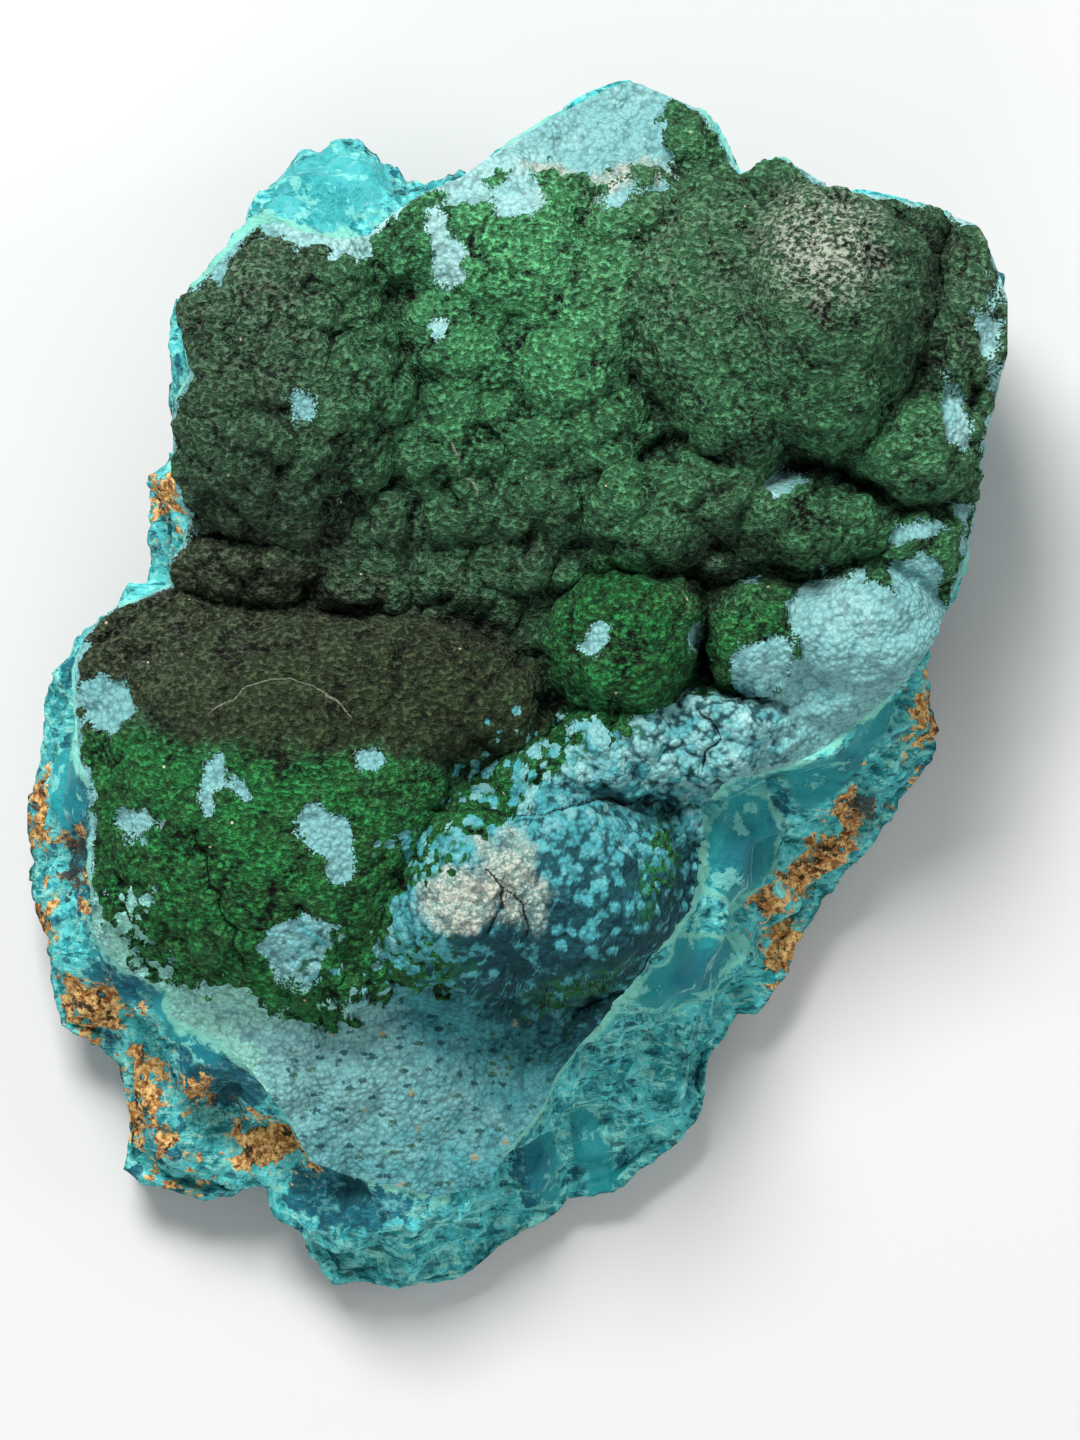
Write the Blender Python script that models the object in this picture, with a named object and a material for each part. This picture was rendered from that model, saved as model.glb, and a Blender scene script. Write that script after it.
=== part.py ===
"""A palm-sized chrysocolla specimen, lying on its broken back with its crust facing up.

It grew as one piece, so it is one solid: a slab of chrysocolla and iron-stained rock, broken all round,
with a crust of rounded lumps on top.
Run it with: blender --background --python part.py
The finished object is in metres, with +Z up. The sizes below are in millimetres, measured from the middle
of the slab: x to its right, y to its head and z up from the surface that it lies on.
"""

import math

import bmesh
import bpy
import numpy as np

MM = 0.001

# The faceted solid: columns of faces across the slab, rows down its sides, and the share that is kept
# once the flatter stretches are made of larger triangles.
COLUMNS_ACROSS = 72
ROWS_DOWN = 12
KEPT_SHARE = 0.34

# The slab seen from above. Every point of both outlines can be seen from this middle.
MIDDLE = (1.0, 4.0)

# The outermost edge of the stone, counterclockwise from the right-hand side.
OUTLINE = (
    (42.1, 3.8), (43.1, 7.0), (44.6, 8.8), (45.4, 12.0), (45.4, 15.8), (46.4, 20.0), (47.2, 23.8),
    (47.1, 25.5), (48.7, 32.3), (49.6, 36.5), (49.6, 39.0), (49.0, 41.5), (47.9, 43.0), (46.9, 44.1),
    (46.5, 46.3), (43.9, 47.3), (38.9, 48.6), (33.9, 49.6), (31.7, 49.5), (28.9, 51.3), (27.1, 52.9),
    (25.4, 52.5), (23.9, 51.3), (22.7, 51.2), (22.3, 52.8), (21.1, 55.0), (19.9, 57.1), (18.7, 57.8),
    (17.2, 57.4), (15.4, 57.9), (13.9, 58.8), (13.4, 60.1), (11.9, 61.0), (8.9, 60.0), (6.4, 58.8),
    (2.9, 56.3), (-1.1, 53.6), (-3.9, 52.0), (-6.4, 52.1), (-7.3, 50.8), (-8.6, 50.5), (-10.6, 51.1),
    (-11.4, 52.3), (-13.1, 53.1), (-14.3, 54.5), (-15.6, 55.5), (-17.6, 55.3), (-19.3, 54.1),
    (-21.1, 54.2), (-22.1, 53.6), (-23.6, 52.0), (-24.9, 49.8), (-26.2, 47.3), (-26.3, 45.8),
    (-27.6, 45.0), (-28.1, 43.6), (-29.8, 42.3), (-30.1, 41.3), (-31.1, 40.3), (-33.3, 38.8),
    (-34.1, 36.3), (-33.8, 34.8), (-34.8, 29.8), (-34.6, 27.3), (-34.1, 24.8), (-34.6, 23.3),
    (-36.3, 20.8), (-36.7, 17.8), (-36.4, 14.8), (-35.9, 12.8), (-36.3, 10.4), (-38.4, 10.5),
    (-39.3, 8.0), (-41.1, 7.5), (-42.9, 6.3), (-43.6, 5.0), (-44.0, 3.3), (-46.1, 1.3), (-47.1, -2.7),
    (-47.9, -7.7), (-49.6, -12.2), (-49.3, -15.2), (-48.6, -17.7), (-49.1, -20.2), (-47.3, -25.7),
    (-47.1, -28.2), (-45.9, -34.5), (-43.6, -35.7), (-41.6, -36.2), (-39.6, -38.2), (-39.1, -41.2),
    (-38.9, -45.2), (-39.3, -48.7), (-37.6, -50.2), (-34.6, -51.2), (-32.1, -52.2), (-28.6, -51.7),
    (-26.1, -50.2), (-24.9, -50.7), (-24.1, -53.3), (-22.6, -54.2), (-21.3, -55.5), (-20.6, -57.4),
    (-19.1, -60.0), (-18.1, -60.7), (-14.6, -60.4), (-11.6, -61.0), (-7.1, -60.2), (-3.6, -59.0),
    (-1.1, -56.7), (1.9, -54.7), (4.4, -53.4), (5.7, -51.9), (8.4, -51.6), (11.4, -50.9),
    (12.9, -49.2), (17.4, -45.8), (19.3, -43.6), (19.8, -40.6), (20.1, -38.7), (20.5, -36.9),
    (21.9, -35.2), (22.9, -33.0), (24.6, -33.0), (26.5, -31.2), (28.9, -26.7), (31.4, -21.7),
    (35.4, -17.4), (39.4, -11.7), (41.4, -9.2), (43.6, -4.5), (42.6, -1.2), (42.2, 1.6),
)

# Where the crust is broken off. Round the head and the right shoulder the crust runs out to the outline.
CRUST_EDGE = (
    (42.0, 4.5), (43.1, 7.0), (45.3, 13.0), (47.1, 24.5), (49.5, 38.0), (46.5, 46.0), (31.7, 49.4),
    (27.1, 52.8), (22.7, 51.1), (19.0, 57.6), (11.9, 60.8), (3.0, 56.2), (-2.5, 52.6), (-5.0, 50.8),
    (-9.0, 49.0), (-12.0, 47.0), (-14.2, 45.0), (-17.0, 44.5), (-20.5, 45.2), (-23.5, 46.4),
    (-25.5, 45.8), (-28.0, 43.4), (-31.0, 40.1), (-33.2, 38.4), (-32.2, 34.0), (-31.8, 31.0),
    (-33.4, 28.0), (-33.6, 23.0), (-33.4, 20.0), (-32.0, 17.0), (-32.6, 14.5), (-34.2, 12.5),
    (-34.0, 10.2), (-38.6, 8.2), (-42.2, 6.0), (-43.6, 3.0), (-43.4, -3.0), (-43.2, -7.0),
    (-42.2, -9.5), (-41.8, -14.0), (-42.0, -20.0), (-41.8, -25.0), (-38.5, -28.5), (-34.5, -30.2),
    (-34.0, -33.0), (-29.0, -35.5), (-26.0, -38.5), (-22.5, -43.0), (-20.2, -47.6), (-16.5, -49.0),
    (-12.0, -50.0), (-7.5, -51.2), (-2.5, -50.0), (0.0, -46.0), (3.2, -42.0), (4.5, -39.0),
    (6.8, -36.0), (9.5, -32.8), (12.0, -29.5), (14.8, -25.5), (18.2, -21.5), (18.8, -17.0),
    (19.0, -11.5), (22.0, -9.0), (27.5, -7.8), (31.0, -6.2), (35.0, -3.0), (39.2, 0.5),
)

# Round the sides: direction from the middle in degrees, the height of the outermost edge, how full the
# broken face bulges between crust and edge (1 is straight, 2 is round), and how far the foot stands in.
SIDES = (
    (-180, 9, 1.3, 7), (-163, 7, 1.3, 7), (-145, 7, 1.1, 6), (-128, 6, 1.1, 6), (-116, 6, 1.0, 7),
    (-105, 4, 1.3, 5), (-90, 4, 1.2, 6), (-70, 5, 1.0, 6), (-55, 6, 1.1, 6), (-30, 7, 1.2, 6),
    (-10, 8, 1.6, 7), (2, 14, 1.5, 9), (15, 18, 1.5, 10), (42, 20, 1.5, 11), (62, 21, 1.5, 11),
    (78, 15, 1.5, 12), (95, 13, 1.8, 10), (108, 10, 2.2, 8), (120, 12, 2.0, 8), (135, 14, 1.4, 9),
    (158, 12, 1.3, 8), (172, 11, 1.3, 7),
)

# Heights of the crust between its lumps, as spots on a map: x, y and height. The ground in between is their
# average, each weighed by a bell curve this wide.
SPOT_REACH = 6.5
SPOTS = (
    (-13, 45, 28), (-6, 50, 27), (3, 51, 30), (9, 51, 32), (14, 52, 32), (19, 51, 31), (27, 49, 29),
    (3, 56, 20), (9, 59, 16), (13, 60, 15), (19, 57, 21), (27, 53, 22), (39, 47, 28), (46, 45, 25),
    (-6, 38, 31), (5, 39, 32), (13, 44, 32), (-5, 28, 31), (6, 27, 32), (14, 28, 31), (44, 38, 31),
    (49, 35, 25), (40, 32, 31), (46, 20, 23), (37, 19, 26), (27, 20, 28), (16, 21, 29), (9, 14, 28),
    (-6, 16, 27), (-16, 15, 25), (-26, 12, 22), (-34, 11, 19), (-6, 6, 25), (5, 8, 25), (19, 8, 24),
    (28, 10, 25), (39, 8, 23), (44, 8, 20), (-33, 36, 23), (-31, 41, 22), (-33, 20, 19), (-27, 45, 22),
    (-40, 7, 19), (-44, 1, 17), (-42, -8, 18), (-42, -20, 17), (-36, -28, 18), (-26, -30, 22),
    (-15, -28, 23), (-10, -20, 23), (-6, -8, 26), (2, -3, 26), (10, -4, 26), (19, -3, 25), (29, -1, 24),
    (39, 1, 21), (15, -11, 25), (21, -9, 22), (19, -18, 20), (16, -24, 17), (9, -32, 15), (4, -38, 14),
    (-32, -33, 18), (-20, -35, 22), (-10, -34, 21), (0, -34, 17), (-22, -42, 17), (-11, -41, 19),
    (0, -42, 15), (-16, -49, 13), (-6, -50, 13),
)

# The lumps of the crust. Each is the top of an egg: its middle, half its width and length, the turn of its
# long side in degrees, the height of its top, and how deep the egg is.
LUMPS = (
    # The long lump at the left shoulder.
    (-22.8, 31.0, 11.4, 15.4, -10, 38.5, 9.5), (-27.0, 24.0, 6.5, 6.5, 0, 34.0, 7),
    # The great lump at the right shoulder: a low dome, a high one on it, and the two lobes that hang from it.
    (23.5, 38.0, 12.6, 11.8, 0, 38.2, 7.5), (30.4, 39.2, 8.4, 9.4, 0, 43.0, 8),
    (22.6, 28.4, 6.3, 5.8, 0, 38.4, 8), (31.2, 31.6, 6.6, 6.4, 0, 40.2, 8),
    # The shelf to the right of it.
    (44.2, 37.0, 6.4, 10.0, -6, 34.6, 7), (39.4, 25.8, 7.2, 6.8, 0, 34.6, 7.5),
    (40.0, 14.0, 6.4, 5.6, 0, 29.6, 6),
    # The rounded steps under both.
    (13.0, 17.3, 6.4, 5.8, 0, 34.2, 5.5), (20.6, 20.0, 6.4, 4.8, 20, 33.6, 4.5),
    (29.0, 17.0, 8.2, 5.6, -16, 32.8, 6), (20.5, 13.0, 4.2, 3.4, 0, 28.6, 3.5),
    (5.0, 18.8, 5.6, 4.4, 0, 32.0, 3.5), (-3.2, 17.6, 6.0, 4.2, 0, 31.0, 3.5),
    (-11.0, 18.0, 5.2, 4.6, 0, 30.2, 3.5), (-18.0, 15.6, 5.2, 4.2, 15, 28.6, 3.5),
    (-13.5, 11.4, 6.0, 4.2, 0, 28.0, 3.2), (-5.0, 11.2, 5.2, 3.8, 0, 28.2, 3),
    (2.5, 12.4, 4.8, 3.8, 0, 29.0, 3), (-24.0, 12.2, 4.8, 3.8, 0, 26.2, 3.2),
    (-30.5, 9.4, 5.0, 3.8, 0, 24.4, 3.2),
    # The broad swell between the two shoulders.
    (-8.0, 44.5, 6.0, 5.0, 0, 32.2, 3), (1.0, 43.0, 7.2, 5.4, 0, 33.6, 3),
    (9.0, 39.0, 6.4, 5.2, 0, 33.8, 2.6), (12.5, 46.5, 5.4, 4.2, 0, 33.6, 3),
    (-4.5, 34.0, 6.4, 5.4, 0, 33.0, 3), (5.0, 31.5, 7.2, 5.4, 0, 33.8, 3),
    (-7.5, 25.4, 6.0, 5.2, 0, 32.2, 3), (1.0, 24.4, 6.0, 4.8, 0, 32.8, 3), (9.2, 25.0, 5.8, 4.8, 0, 33.4, 3),
    (19.0, 54.0, 4.4, 4.4, 0, 29.0, 7), (27.0, 51.0, 4.0, 2.6, -10, 28.6, 5),
    (39.0, 46.6, 8.0, 2.6, -14, 28.4, 3),
    # The cushion at the lower left.
    (-22.5, -10.0, 19.5, 17.4, 0, 34.6, 11), (-12.0, -1.0, 14.5, 7.6, -8, 32.6, 6.5),
    (-36.5, -0.5, 7.4, 7.8, 0, 27.0, 6), (-38.0, -17.0, 6.0, 9.0, 0, 26.0, 6),
    (-18.0, -26.0, 9.0, 5.0, 0, 27.5, 5.5),
    # The row of balls to the right of the cushion.
    (11.3, 3.7, 7.8, 7.5, 0, 34.2, 9.5), (25.2, 4.0, 6.4, 6.2, 0, 31.2, 8),
    (34.6, 5.6, 7.8, 6.8, 0, 31.4, 7.5),
    # The blue slope below them.
    (22.0, -4.6, 6.4, 5.0, 0, 28.6, 4), (11.5, -6.4, 7.0, 5.2, 0, 29.4, 4),
    (4.0, -10.4, 6.0, 5.0, 0, 29.8, 4), (31.0, 0.2, 6.0, 4.6, 0, 27.0, 4),
    # The cracked pale ball.
    (4.4, -19.6, 14.4, 11.2, -6, 34.4, 15), (-2.2, -19.6, 9.0, 8.2, 0, 35.0, 8),
    (-6.5, -26.0, 5.0, 4.2, 0, 28.0, 5),
)

# The deepest crevices between the lumps: middle, half width, half length, turn and depth of each.
CREVICES = (
    # Under the left shoulder, and along the head of the cushion.
    (-26.5, 14.8, 5.5, 1.5, -8, 4.0), (-17.5, 7.2, 5.0, 1.2, 0, 2.0), (-3.0, 4.6, 4.0, 1.2, -20, 2.6),
    # Round the middle ball of the row.
    (19.5, 3.4, 1.0, 4.4, 0, 3.6), (22.6, -0.9, 3.2, 1.0, -12, 3.0),
    # A crescent round the foot of the pale ball, inside the raised rim.
    (-6.5, -30.2, 3.6, 1.3, -15, 3.0), (1.0, -31.8, 4.6, 1.5, 0, 3.6), (8.0, -31.0, 3.6, 1.6, 22, 4.0),
    (13.4, -27.0, 1.7, 4.6, -45, 4.6), (17.4, -20.2, 1.5, 4.4, -12, 3.8),
)

# A lump is round out to this share of its half width. Below 2, the power makes its top pointed, above 2 flat.
SHOULDER = 0.86
LUMP_POWER = 2.2

# A lump's outline wanders this far, in waves this wide, with finer waves on them.
BEND = 1.5
BEND_WIDTH = 13.0
FINE_BEND = 0.6
FINE_BEND_WIDTH = 4.3

# Where two lumps are within this height of each other, the crease between them is partly filled.
CREASE = 1.6

# Small knobs all over the crust, in two sizes: their spacing and height.
KNOB_SPACING = 6.0
KNOB_HEIGHT = 2.0
SMALL_KNOB_SPACING = 3.3
SMALL_KNOB_HEIGHT = 1.0

# Where the knobs are lower: middle, half width, half length and the share of their height that is missing.
SMOOTHER_SPOTS = (
    (-22.0, -10.0, 19.0, 16.0, 0.75), (4.0, -19.0, 12.0, 9.0, 0.5), (-4.0, -41.0, 14.0, 8.0, 0.6),
    (1.0, 40.0, 13.0, 11.0, 0.5), (26.0, 37.0, 12.0, 12.0, 0.6), (11.3, 3.7, 7.0, 7.0, 0.6),
)

# The outermost edge lies at least this far out from the crust's edge and this far below it. The crust's
# knobs run on down the broken side for this share of the way to the outermost edge.
LEAST_REACH = 0.2
LEAST_DROP = 2.0
KNOB_RUN_OUT = 0.25

# Shell-shaped chips on the broken sides. Their bowls end in blunt ridges at this share of their depth, and
# the surface runs level with this share of it.
CHIP_WIDTH = 11.0
CHIP_DEPTH = 2.8
CHIP_BEND = 3.7
CHIP_RIDGE = 1.2
CHIP_LEVEL = 0.8

# Rounded ledges and small unevenness on the broken sides, and the hollows in the back.
LEDGE_SPACING = 8.0
LEDGE_DEPTH = 1.3
UNEVEN_WIDTH = 5.0
UNEVEN_DEPTH = 0.6
HOLLOW_WIDTH = 17.0
HOLLOW_DEPTH = 3.2

# The ridges on the broken sides stand out past the outline by this much at most.
OVERHANG = 0.3

# The colour of the crust, where its green and blue are taken together.
STONE_COLOUR = (0.06, 0.22, 0.2, 1.0)
STONE_ROUGHNESS = 0.7


def scatter(cell, seed):
    """A steady random number from 0 to 1 for each whole-number cell of space."""
    mixed = (cell[:, 0] * 73856093) ^ (cell[:, 1] * 19349663) ^ (cell[:, 2] * 83492791) ^ (seed * 97531)
    mixed = ((mixed ^ (mixed >> 13)) & 0xFFFFFF) * 1274126177
    mixed = mixed ^ (mixed >> 17)
    return (mixed & 0xFFFF) / 0x10000


def ripple(points, width, seed):
    """Smooth noise from -1 to 1: random values at the corners of cubes this wide, blended between them.

    Each use has a seed number of its own, so that no two patterns are alike."""
    at = points / width
    cell = np.floor(at).astype(np.int64)
    part = at - cell
    blend = part * part * (3 - 2 * part)
    total = np.zeros(len(points))
    for corner in np.ndindex(2, 2, 2):
        weight = np.where(corner, blend, 1 - blend).prod(axis=1)
        total += weight * scatter(cell + np.array(corner), seed)
    return 2 * total - 1


def nearest_seed(points, width, seed):
    """Distance to the nearest of the seeds that lie one to each cube this wide, in cube widths."""
    at = points / width
    cell = np.floor(at).astype(np.int64)
    nearest = np.full(len(points), 3.0)
    for step in np.ndindex(3, 3, 3):
        neighbour = cell + np.array(step) - 1
        place = neighbour + np.stack([scatter(neighbour, seed + axis) for axis in range(3)], axis=1)
        nearest = np.minimum(nearest, np.linalg.norm(at - place, axis=1))
    return nearest


def ring(outline, angles):
    """How far an outline lies from the middle in each direction, straight between its points."""
    offset = np.array(outline) - MIDDLE
    return np.interp(angles, np.arctan2(offset[:, 1], offset[:, 0]), np.hypot(offset[:, 0], offset[:, 1]),
                     period=2 * math.pi)


def side(angles, column):
    """One of the measures of SIDES in each direction."""
    table = np.array(SIDES, float)
    return np.interp(np.degrees(angles), table[:, 0], table[:, column], period=360)


def joined(one, other, reach):
    """The higher of two heights, with the crease between them filled over this reach."""
    overlap = np.clip(reach - np.abs(one - other), 0, None)
    return np.maximum(one, other) + overlap**2 / (4 * reach)


def turned(x, y, turn):
    """x and y measured along axes that are turned counterclockwise by some degrees."""
    turn = math.radians(turn)
    return x * math.cos(turn) + y * math.sin(turn), y * math.cos(turn) - x * math.sin(turn)


def lump_profile(distance):
    """How high a lump stands, from 1 at its middle: round on top, and straight down from its shoulder."""
    round_part = np.sqrt(1 - np.minimum(distance, SHOULDER) ** LUMP_POWER)
    slope = LUMP_POWER * SHOULDER ** (LUMP_POWER - 1) / (2 * math.sqrt(1 - SHOULDER**LUMP_POWER))
    return round_part - slope * np.clip(distance - SHOULDER, 0, None)


def crust_height(x, y):
    """Height of the crust: the spots' average, or the highest of the lumps that stand out of it there."""
    weight_sum = np.zeros(len(x))
    height_sum = np.zeros(len(x))
    for spot_x, spot_y, height in SPOTS:
        weight = np.exp(-((x - spot_x) ** 2 + (y - spot_y) ** 2) / (2 * SPOT_REACH**2)) + 1e-12
        weight_sum += weight
        height_sum += weight * height
    crust = height_sum / weight_sum
    flat = np.stack([x, y, np.zeros(len(x))], axis=1)
    bent_x = x + BEND * ripple(flat, BEND_WIDTH, 51) + FINE_BEND * ripple(flat, FINE_BEND_WIDTH, 52)
    bent_y = y + BEND * ripple(flat, BEND_WIDTH, 53) + FINE_BEND * ripple(flat, FINE_BEND_WIDTH, 54)
    for lump_x, lump_y, half_width, half_length, turn, top, rise in LUMPS:
        across, along = turned(bent_x - lump_x, bent_y - lump_y, turn)
        lump = top - rise * (1 - lump_profile(np.hypot(across / half_width, along / half_length)))
        crust = joined(crust, lump, CREASE)
    for crevice_x, crevice_y, half_width, half_length, turn, depth in CREVICES:
        across, along = turned(x - crevice_x, y - crevice_y, turn)
        crust -= depth * np.exp(-((across / half_width) ** 2) - (along / half_length) ** 2)
    return crust


def smoothness(x, y):
    """The share of the knobs' height that is missing."""
    missing = np.zeros(len(x))
    for spot_x, spot_y, half_width, half_length, share in SMOOTHER_SPOTS:
        reach = np.hypot((x - spot_x) / half_width, (y - spot_y) / half_length)
        missing = np.maximum(missing, share * np.exp(-(reach**4)))
    return missing


def knobs(x, y, crust):
    """Height of the small knobs on the crust, which meet in sharp creases."""
    at = np.stack([x, y, crust], axis=1)
    large = KNOB_HEIGHT * (0.5 - nearest_seed(at, KNOB_SPACING, 11) ** 2)
    small = SMALL_KNOB_HEIGHT * (0.5 - nearest_seed(at, SMALL_KNOB_SPACING, 12) ** 2)
    return (large + small) * (1 - smoothness(x, y))


def round_from_square(u, v):
    """A square's point taken into the circle of radius 1: its distance from the middle and its direction."""
    x = u * np.sqrt(1 - v * v / 2)
    y = v * np.sqrt(1 - u * u / 2)
    return np.clip(np.hypot(x, y), 0, 1), np.arctan2(y, x)


def place(radius, angles):
    """x and y at a distance from the middle in each direction."""
    return MIDDLE[0] + radius * np.cos(angles), MIDDLE[1] + radius * np.sin(angles)


def top_of(share, angles):
    """The crust: share is 0 at the middle and 1 at the crust's edge, where the knobs end."""
    x, y = place(share * ring(CRUST_EDGE, angles), angles)
    crust = crust_height(x, y)
    return np.stack([x, y, crust + knobs(x, y, crust)], axis=1)


def foot(angles):
    """Distance from the middle to the edge of the face that the stone lies on."""
    return ring(OUTLINE, angles) - side(angles, 3)


def side_of(down, angles):
    """The broken side, still smooth, and the way that each of its points faces.

    Down is 0 at the crust's edge, 0.5 at the outline and 1 at the foot."""
    edge = ring(CRUST_EDGE, angles)
    outer = np.maximum(ring(OUTLINE, angles), edge + LEAST_REACH)
    inset = foot(angles) - outer
    upper, lower = np.clip(down * 2, 0, 1), np.clip(down * 2 - 1, 0, 1)
    edge_x, edge_y = place(edge, angles)
    edge_height = crust_height(edge_x, edge_y)
    edge_height += knobs(edge_x, edge_y, edge_height) * np.clip(1 - upper / KNOB_RUN_OUT, 0, 1)
    outer_height = np.minimum(side(angles, 1), edge_height - LEAST_DROP)
    height = edge_height + (outer_height - edge_height) * upper ** side(angles, 2)
    x, y = place(edge + (outer - edge) * upper + inset * lower, angles)
    tilt = np.where(down < 0.5, (outer - edge) / (edge_height - outer_height), inset / outer_height)
    facing = np.stack([np.cos(angles), np.sin(angles), tilt], axis=1)
    facing /= np.linalg.norm(facing, axis=1, keepdims=True)
    return np.stack([x, y, height * (1 - lower)], axis=1), facing


def back_of(share, angles):
    """The back: share is 0 at the middle and 1 at the foot. Between its shallow hollows it is level."""
    x, y = place(share * foot(angles), angles)
    flat = np.stack([x, y, np.zeros(len(x))], axis=1)
    hollow = np.clip(ripple(flat, HOLLOW_WIDTH, 5), 0, None) * HOLLOW_DEPTH * (1 - share**4)
    return flat + [[0, 0, 1]] * hollow[:, None]


def room_left(points):
    """How far each point can move outwards until it is past the outline."""
    out_x, out_y = points[:, 0] - MIDDLE[0], points[:, 1] - MIDDLE[1]
    room = ring(OUTLINE, np.arctan2(out_y, out_x)) + OVERHANG - np.hypot(out_x, out_y)
    return np.clip(room, 0, None)


def broken(points, facing, down):
    """The broken side: shell-shaped chips that meet in blunt ridges, with ledges across them.

    The crust's edge, the outline and the foot keep their places, so that each face meets its neighbours."""
    bent = points + CHIP_BEND * np.stack([ripple(points, CHIP_WIDTH, seed) for seed in (22, 23, 24)], axis=1)
    bowl = 2 * nearest_seed(bent, CHIP_WIDTH, 21) ** 2
    chips = CHIP_DEPTH * (np.minimum(bowl, CHIP_RIDGE) - CHIP_LEVEL)
    ledges = LEDGE_DEPTH * np.sin(2 * math.pi * bent[:, 2] / LEDGE_SPACING)
    uneven = UNEVEN_DEPTH * ripple(points, UNEVEN_WIDTH, 41)
    half = np.where(down < 0.5, 2 * down, 2 * down - 1)
    share = np.sqrt(np.clip(4 * half * (1 - half), 0, 1))
    depth = np.minimum(share * (chips + ledges + uneven), room_left(points))
    return points + facing * depth[:, None]


def stone_point(cube):
    """The stone's surface from that of a cube reaching from -1 to 1: its top is the crust, its sides the
    broken sides and its underside the back."""
    u, v, w = cube.T
    reach = np.maximum(np.abs(u), np.abs(v))
    share, angles = round_from_square(u, v)
    points = np.zeros_like(cube)
    is_top = w > 1 - 1e-6
    is_back = w < -1 + 1e-6
    is_side = ~is_top & ~is_back & (reach > 1 - 1e-6)
    points[is_top] = top_of(share[is_top], angles[is_top])
    points[is_back] = back_of(share[is_back], angles[is_back])
    down = (1 - w[is_side]) / 2
    points[is_side] = broken(*side_of(down, angles[is_side]), down)
    points[:, 2] = np.clip(points[:, 2], 0, None)
    return points


def cube_mesh():
    """A cube with an even grid of faces on every side."""
    mesh = bmesh.new()
    bmesh.ops.create_cube(mesh, size=2)
    upright = [edge for edge in mesh.edges if abs(edge.verts[0].co.z - edge.verts[1].co.z) > 1]
    bmesh.ops.subdivide_edges(mesh, edges=upright, cuts=ROWS_DOWN, use_grid_fill=True)
    level = [edge for edge in mesh.edges if abs(edge.verts[0].co.z - edge.verts[1].co.z) < 0.01]
    bmesh.ops.subdivide_edges(mesh, edges=level, cuts=COLUMNS_ACROSS, use_grid_fill=True)
    return mesh


def stone_material():
    """Malachite and chrysocolla taken together, dull as the crust is."""
    material = bpy.data.materials.new("chrysocolla")
    material.use_nodes = True
    surface = material.node_tree.nodes["Principled BSDF"]
    surface.inputs["Base Color"].default_value = STONE_COLOUR
    surface.inputs["Roughness"].default_value = STONE_ROUGHNESS
    surface.inputs["Metallic"].default_value = 0.0
    return material


def make_specimen(collection):
    """The stone, with its origin under its middle on the surface that it lies on."""
    shape = cube_mesh()
    mesh = bpy.data.meshes.new("specimen")
    shape.to_mesh(mesh)
    shape.free()
    cube = np.empty(len(mesh.vertices) * 3)
    mesh.vertices.foreach_get("co", cube)
    points = stone_point(cube.reshape(-1, 3))
    low, high = points.min(axis=0), points.max(axis=0)
    points -= [(low[0] + high[0]) / 2, (low[1] + high[1]) / 2, low[2]]
    mesh.vertices.foreach_set("co", (points * MM).ravel())
    mesh.update()
    mesh.materials.append(stone_material())
    stone = bpy.data.objects.new("specimen", mesh)
    collection.objects.link(stone)
    fewer = stone.modifiers.new("Decimate", "DECIMATE")
    fewer.ratio = KEPT_SHARE
    return stone


for thing in list(bpy.data.objects):
    bpy.data.objects.remove(thing)
collection = bpy.data.collections.new("chrysocolla_specimen")
bpy.context.scene.collection.children.link(collection)
make_specimen(collection)
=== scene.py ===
"""Looks of the chrysocolla specimen: a broken slab with a crust of velvety malachite and pale blue knobs."""

import math

import bpy
import numpy as np
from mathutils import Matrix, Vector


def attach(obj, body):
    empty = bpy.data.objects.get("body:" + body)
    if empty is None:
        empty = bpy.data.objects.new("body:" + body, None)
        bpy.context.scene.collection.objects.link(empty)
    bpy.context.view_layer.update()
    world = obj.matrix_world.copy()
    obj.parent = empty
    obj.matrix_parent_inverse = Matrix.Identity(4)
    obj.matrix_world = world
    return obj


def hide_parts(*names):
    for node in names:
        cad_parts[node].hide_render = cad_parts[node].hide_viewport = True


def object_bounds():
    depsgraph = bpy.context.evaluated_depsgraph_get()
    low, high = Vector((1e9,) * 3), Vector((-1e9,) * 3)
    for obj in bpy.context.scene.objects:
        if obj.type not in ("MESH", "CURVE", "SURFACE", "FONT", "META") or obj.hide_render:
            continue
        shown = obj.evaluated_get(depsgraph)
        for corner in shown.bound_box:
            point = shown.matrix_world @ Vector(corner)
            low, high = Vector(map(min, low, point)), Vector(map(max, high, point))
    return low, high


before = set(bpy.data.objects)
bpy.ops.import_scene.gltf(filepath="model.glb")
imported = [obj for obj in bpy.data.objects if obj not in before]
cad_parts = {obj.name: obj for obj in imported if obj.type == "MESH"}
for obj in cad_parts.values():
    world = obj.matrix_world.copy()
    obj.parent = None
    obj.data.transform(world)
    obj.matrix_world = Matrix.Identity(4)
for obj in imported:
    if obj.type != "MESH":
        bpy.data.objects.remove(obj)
cad_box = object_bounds()
MM = 0.001

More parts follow.
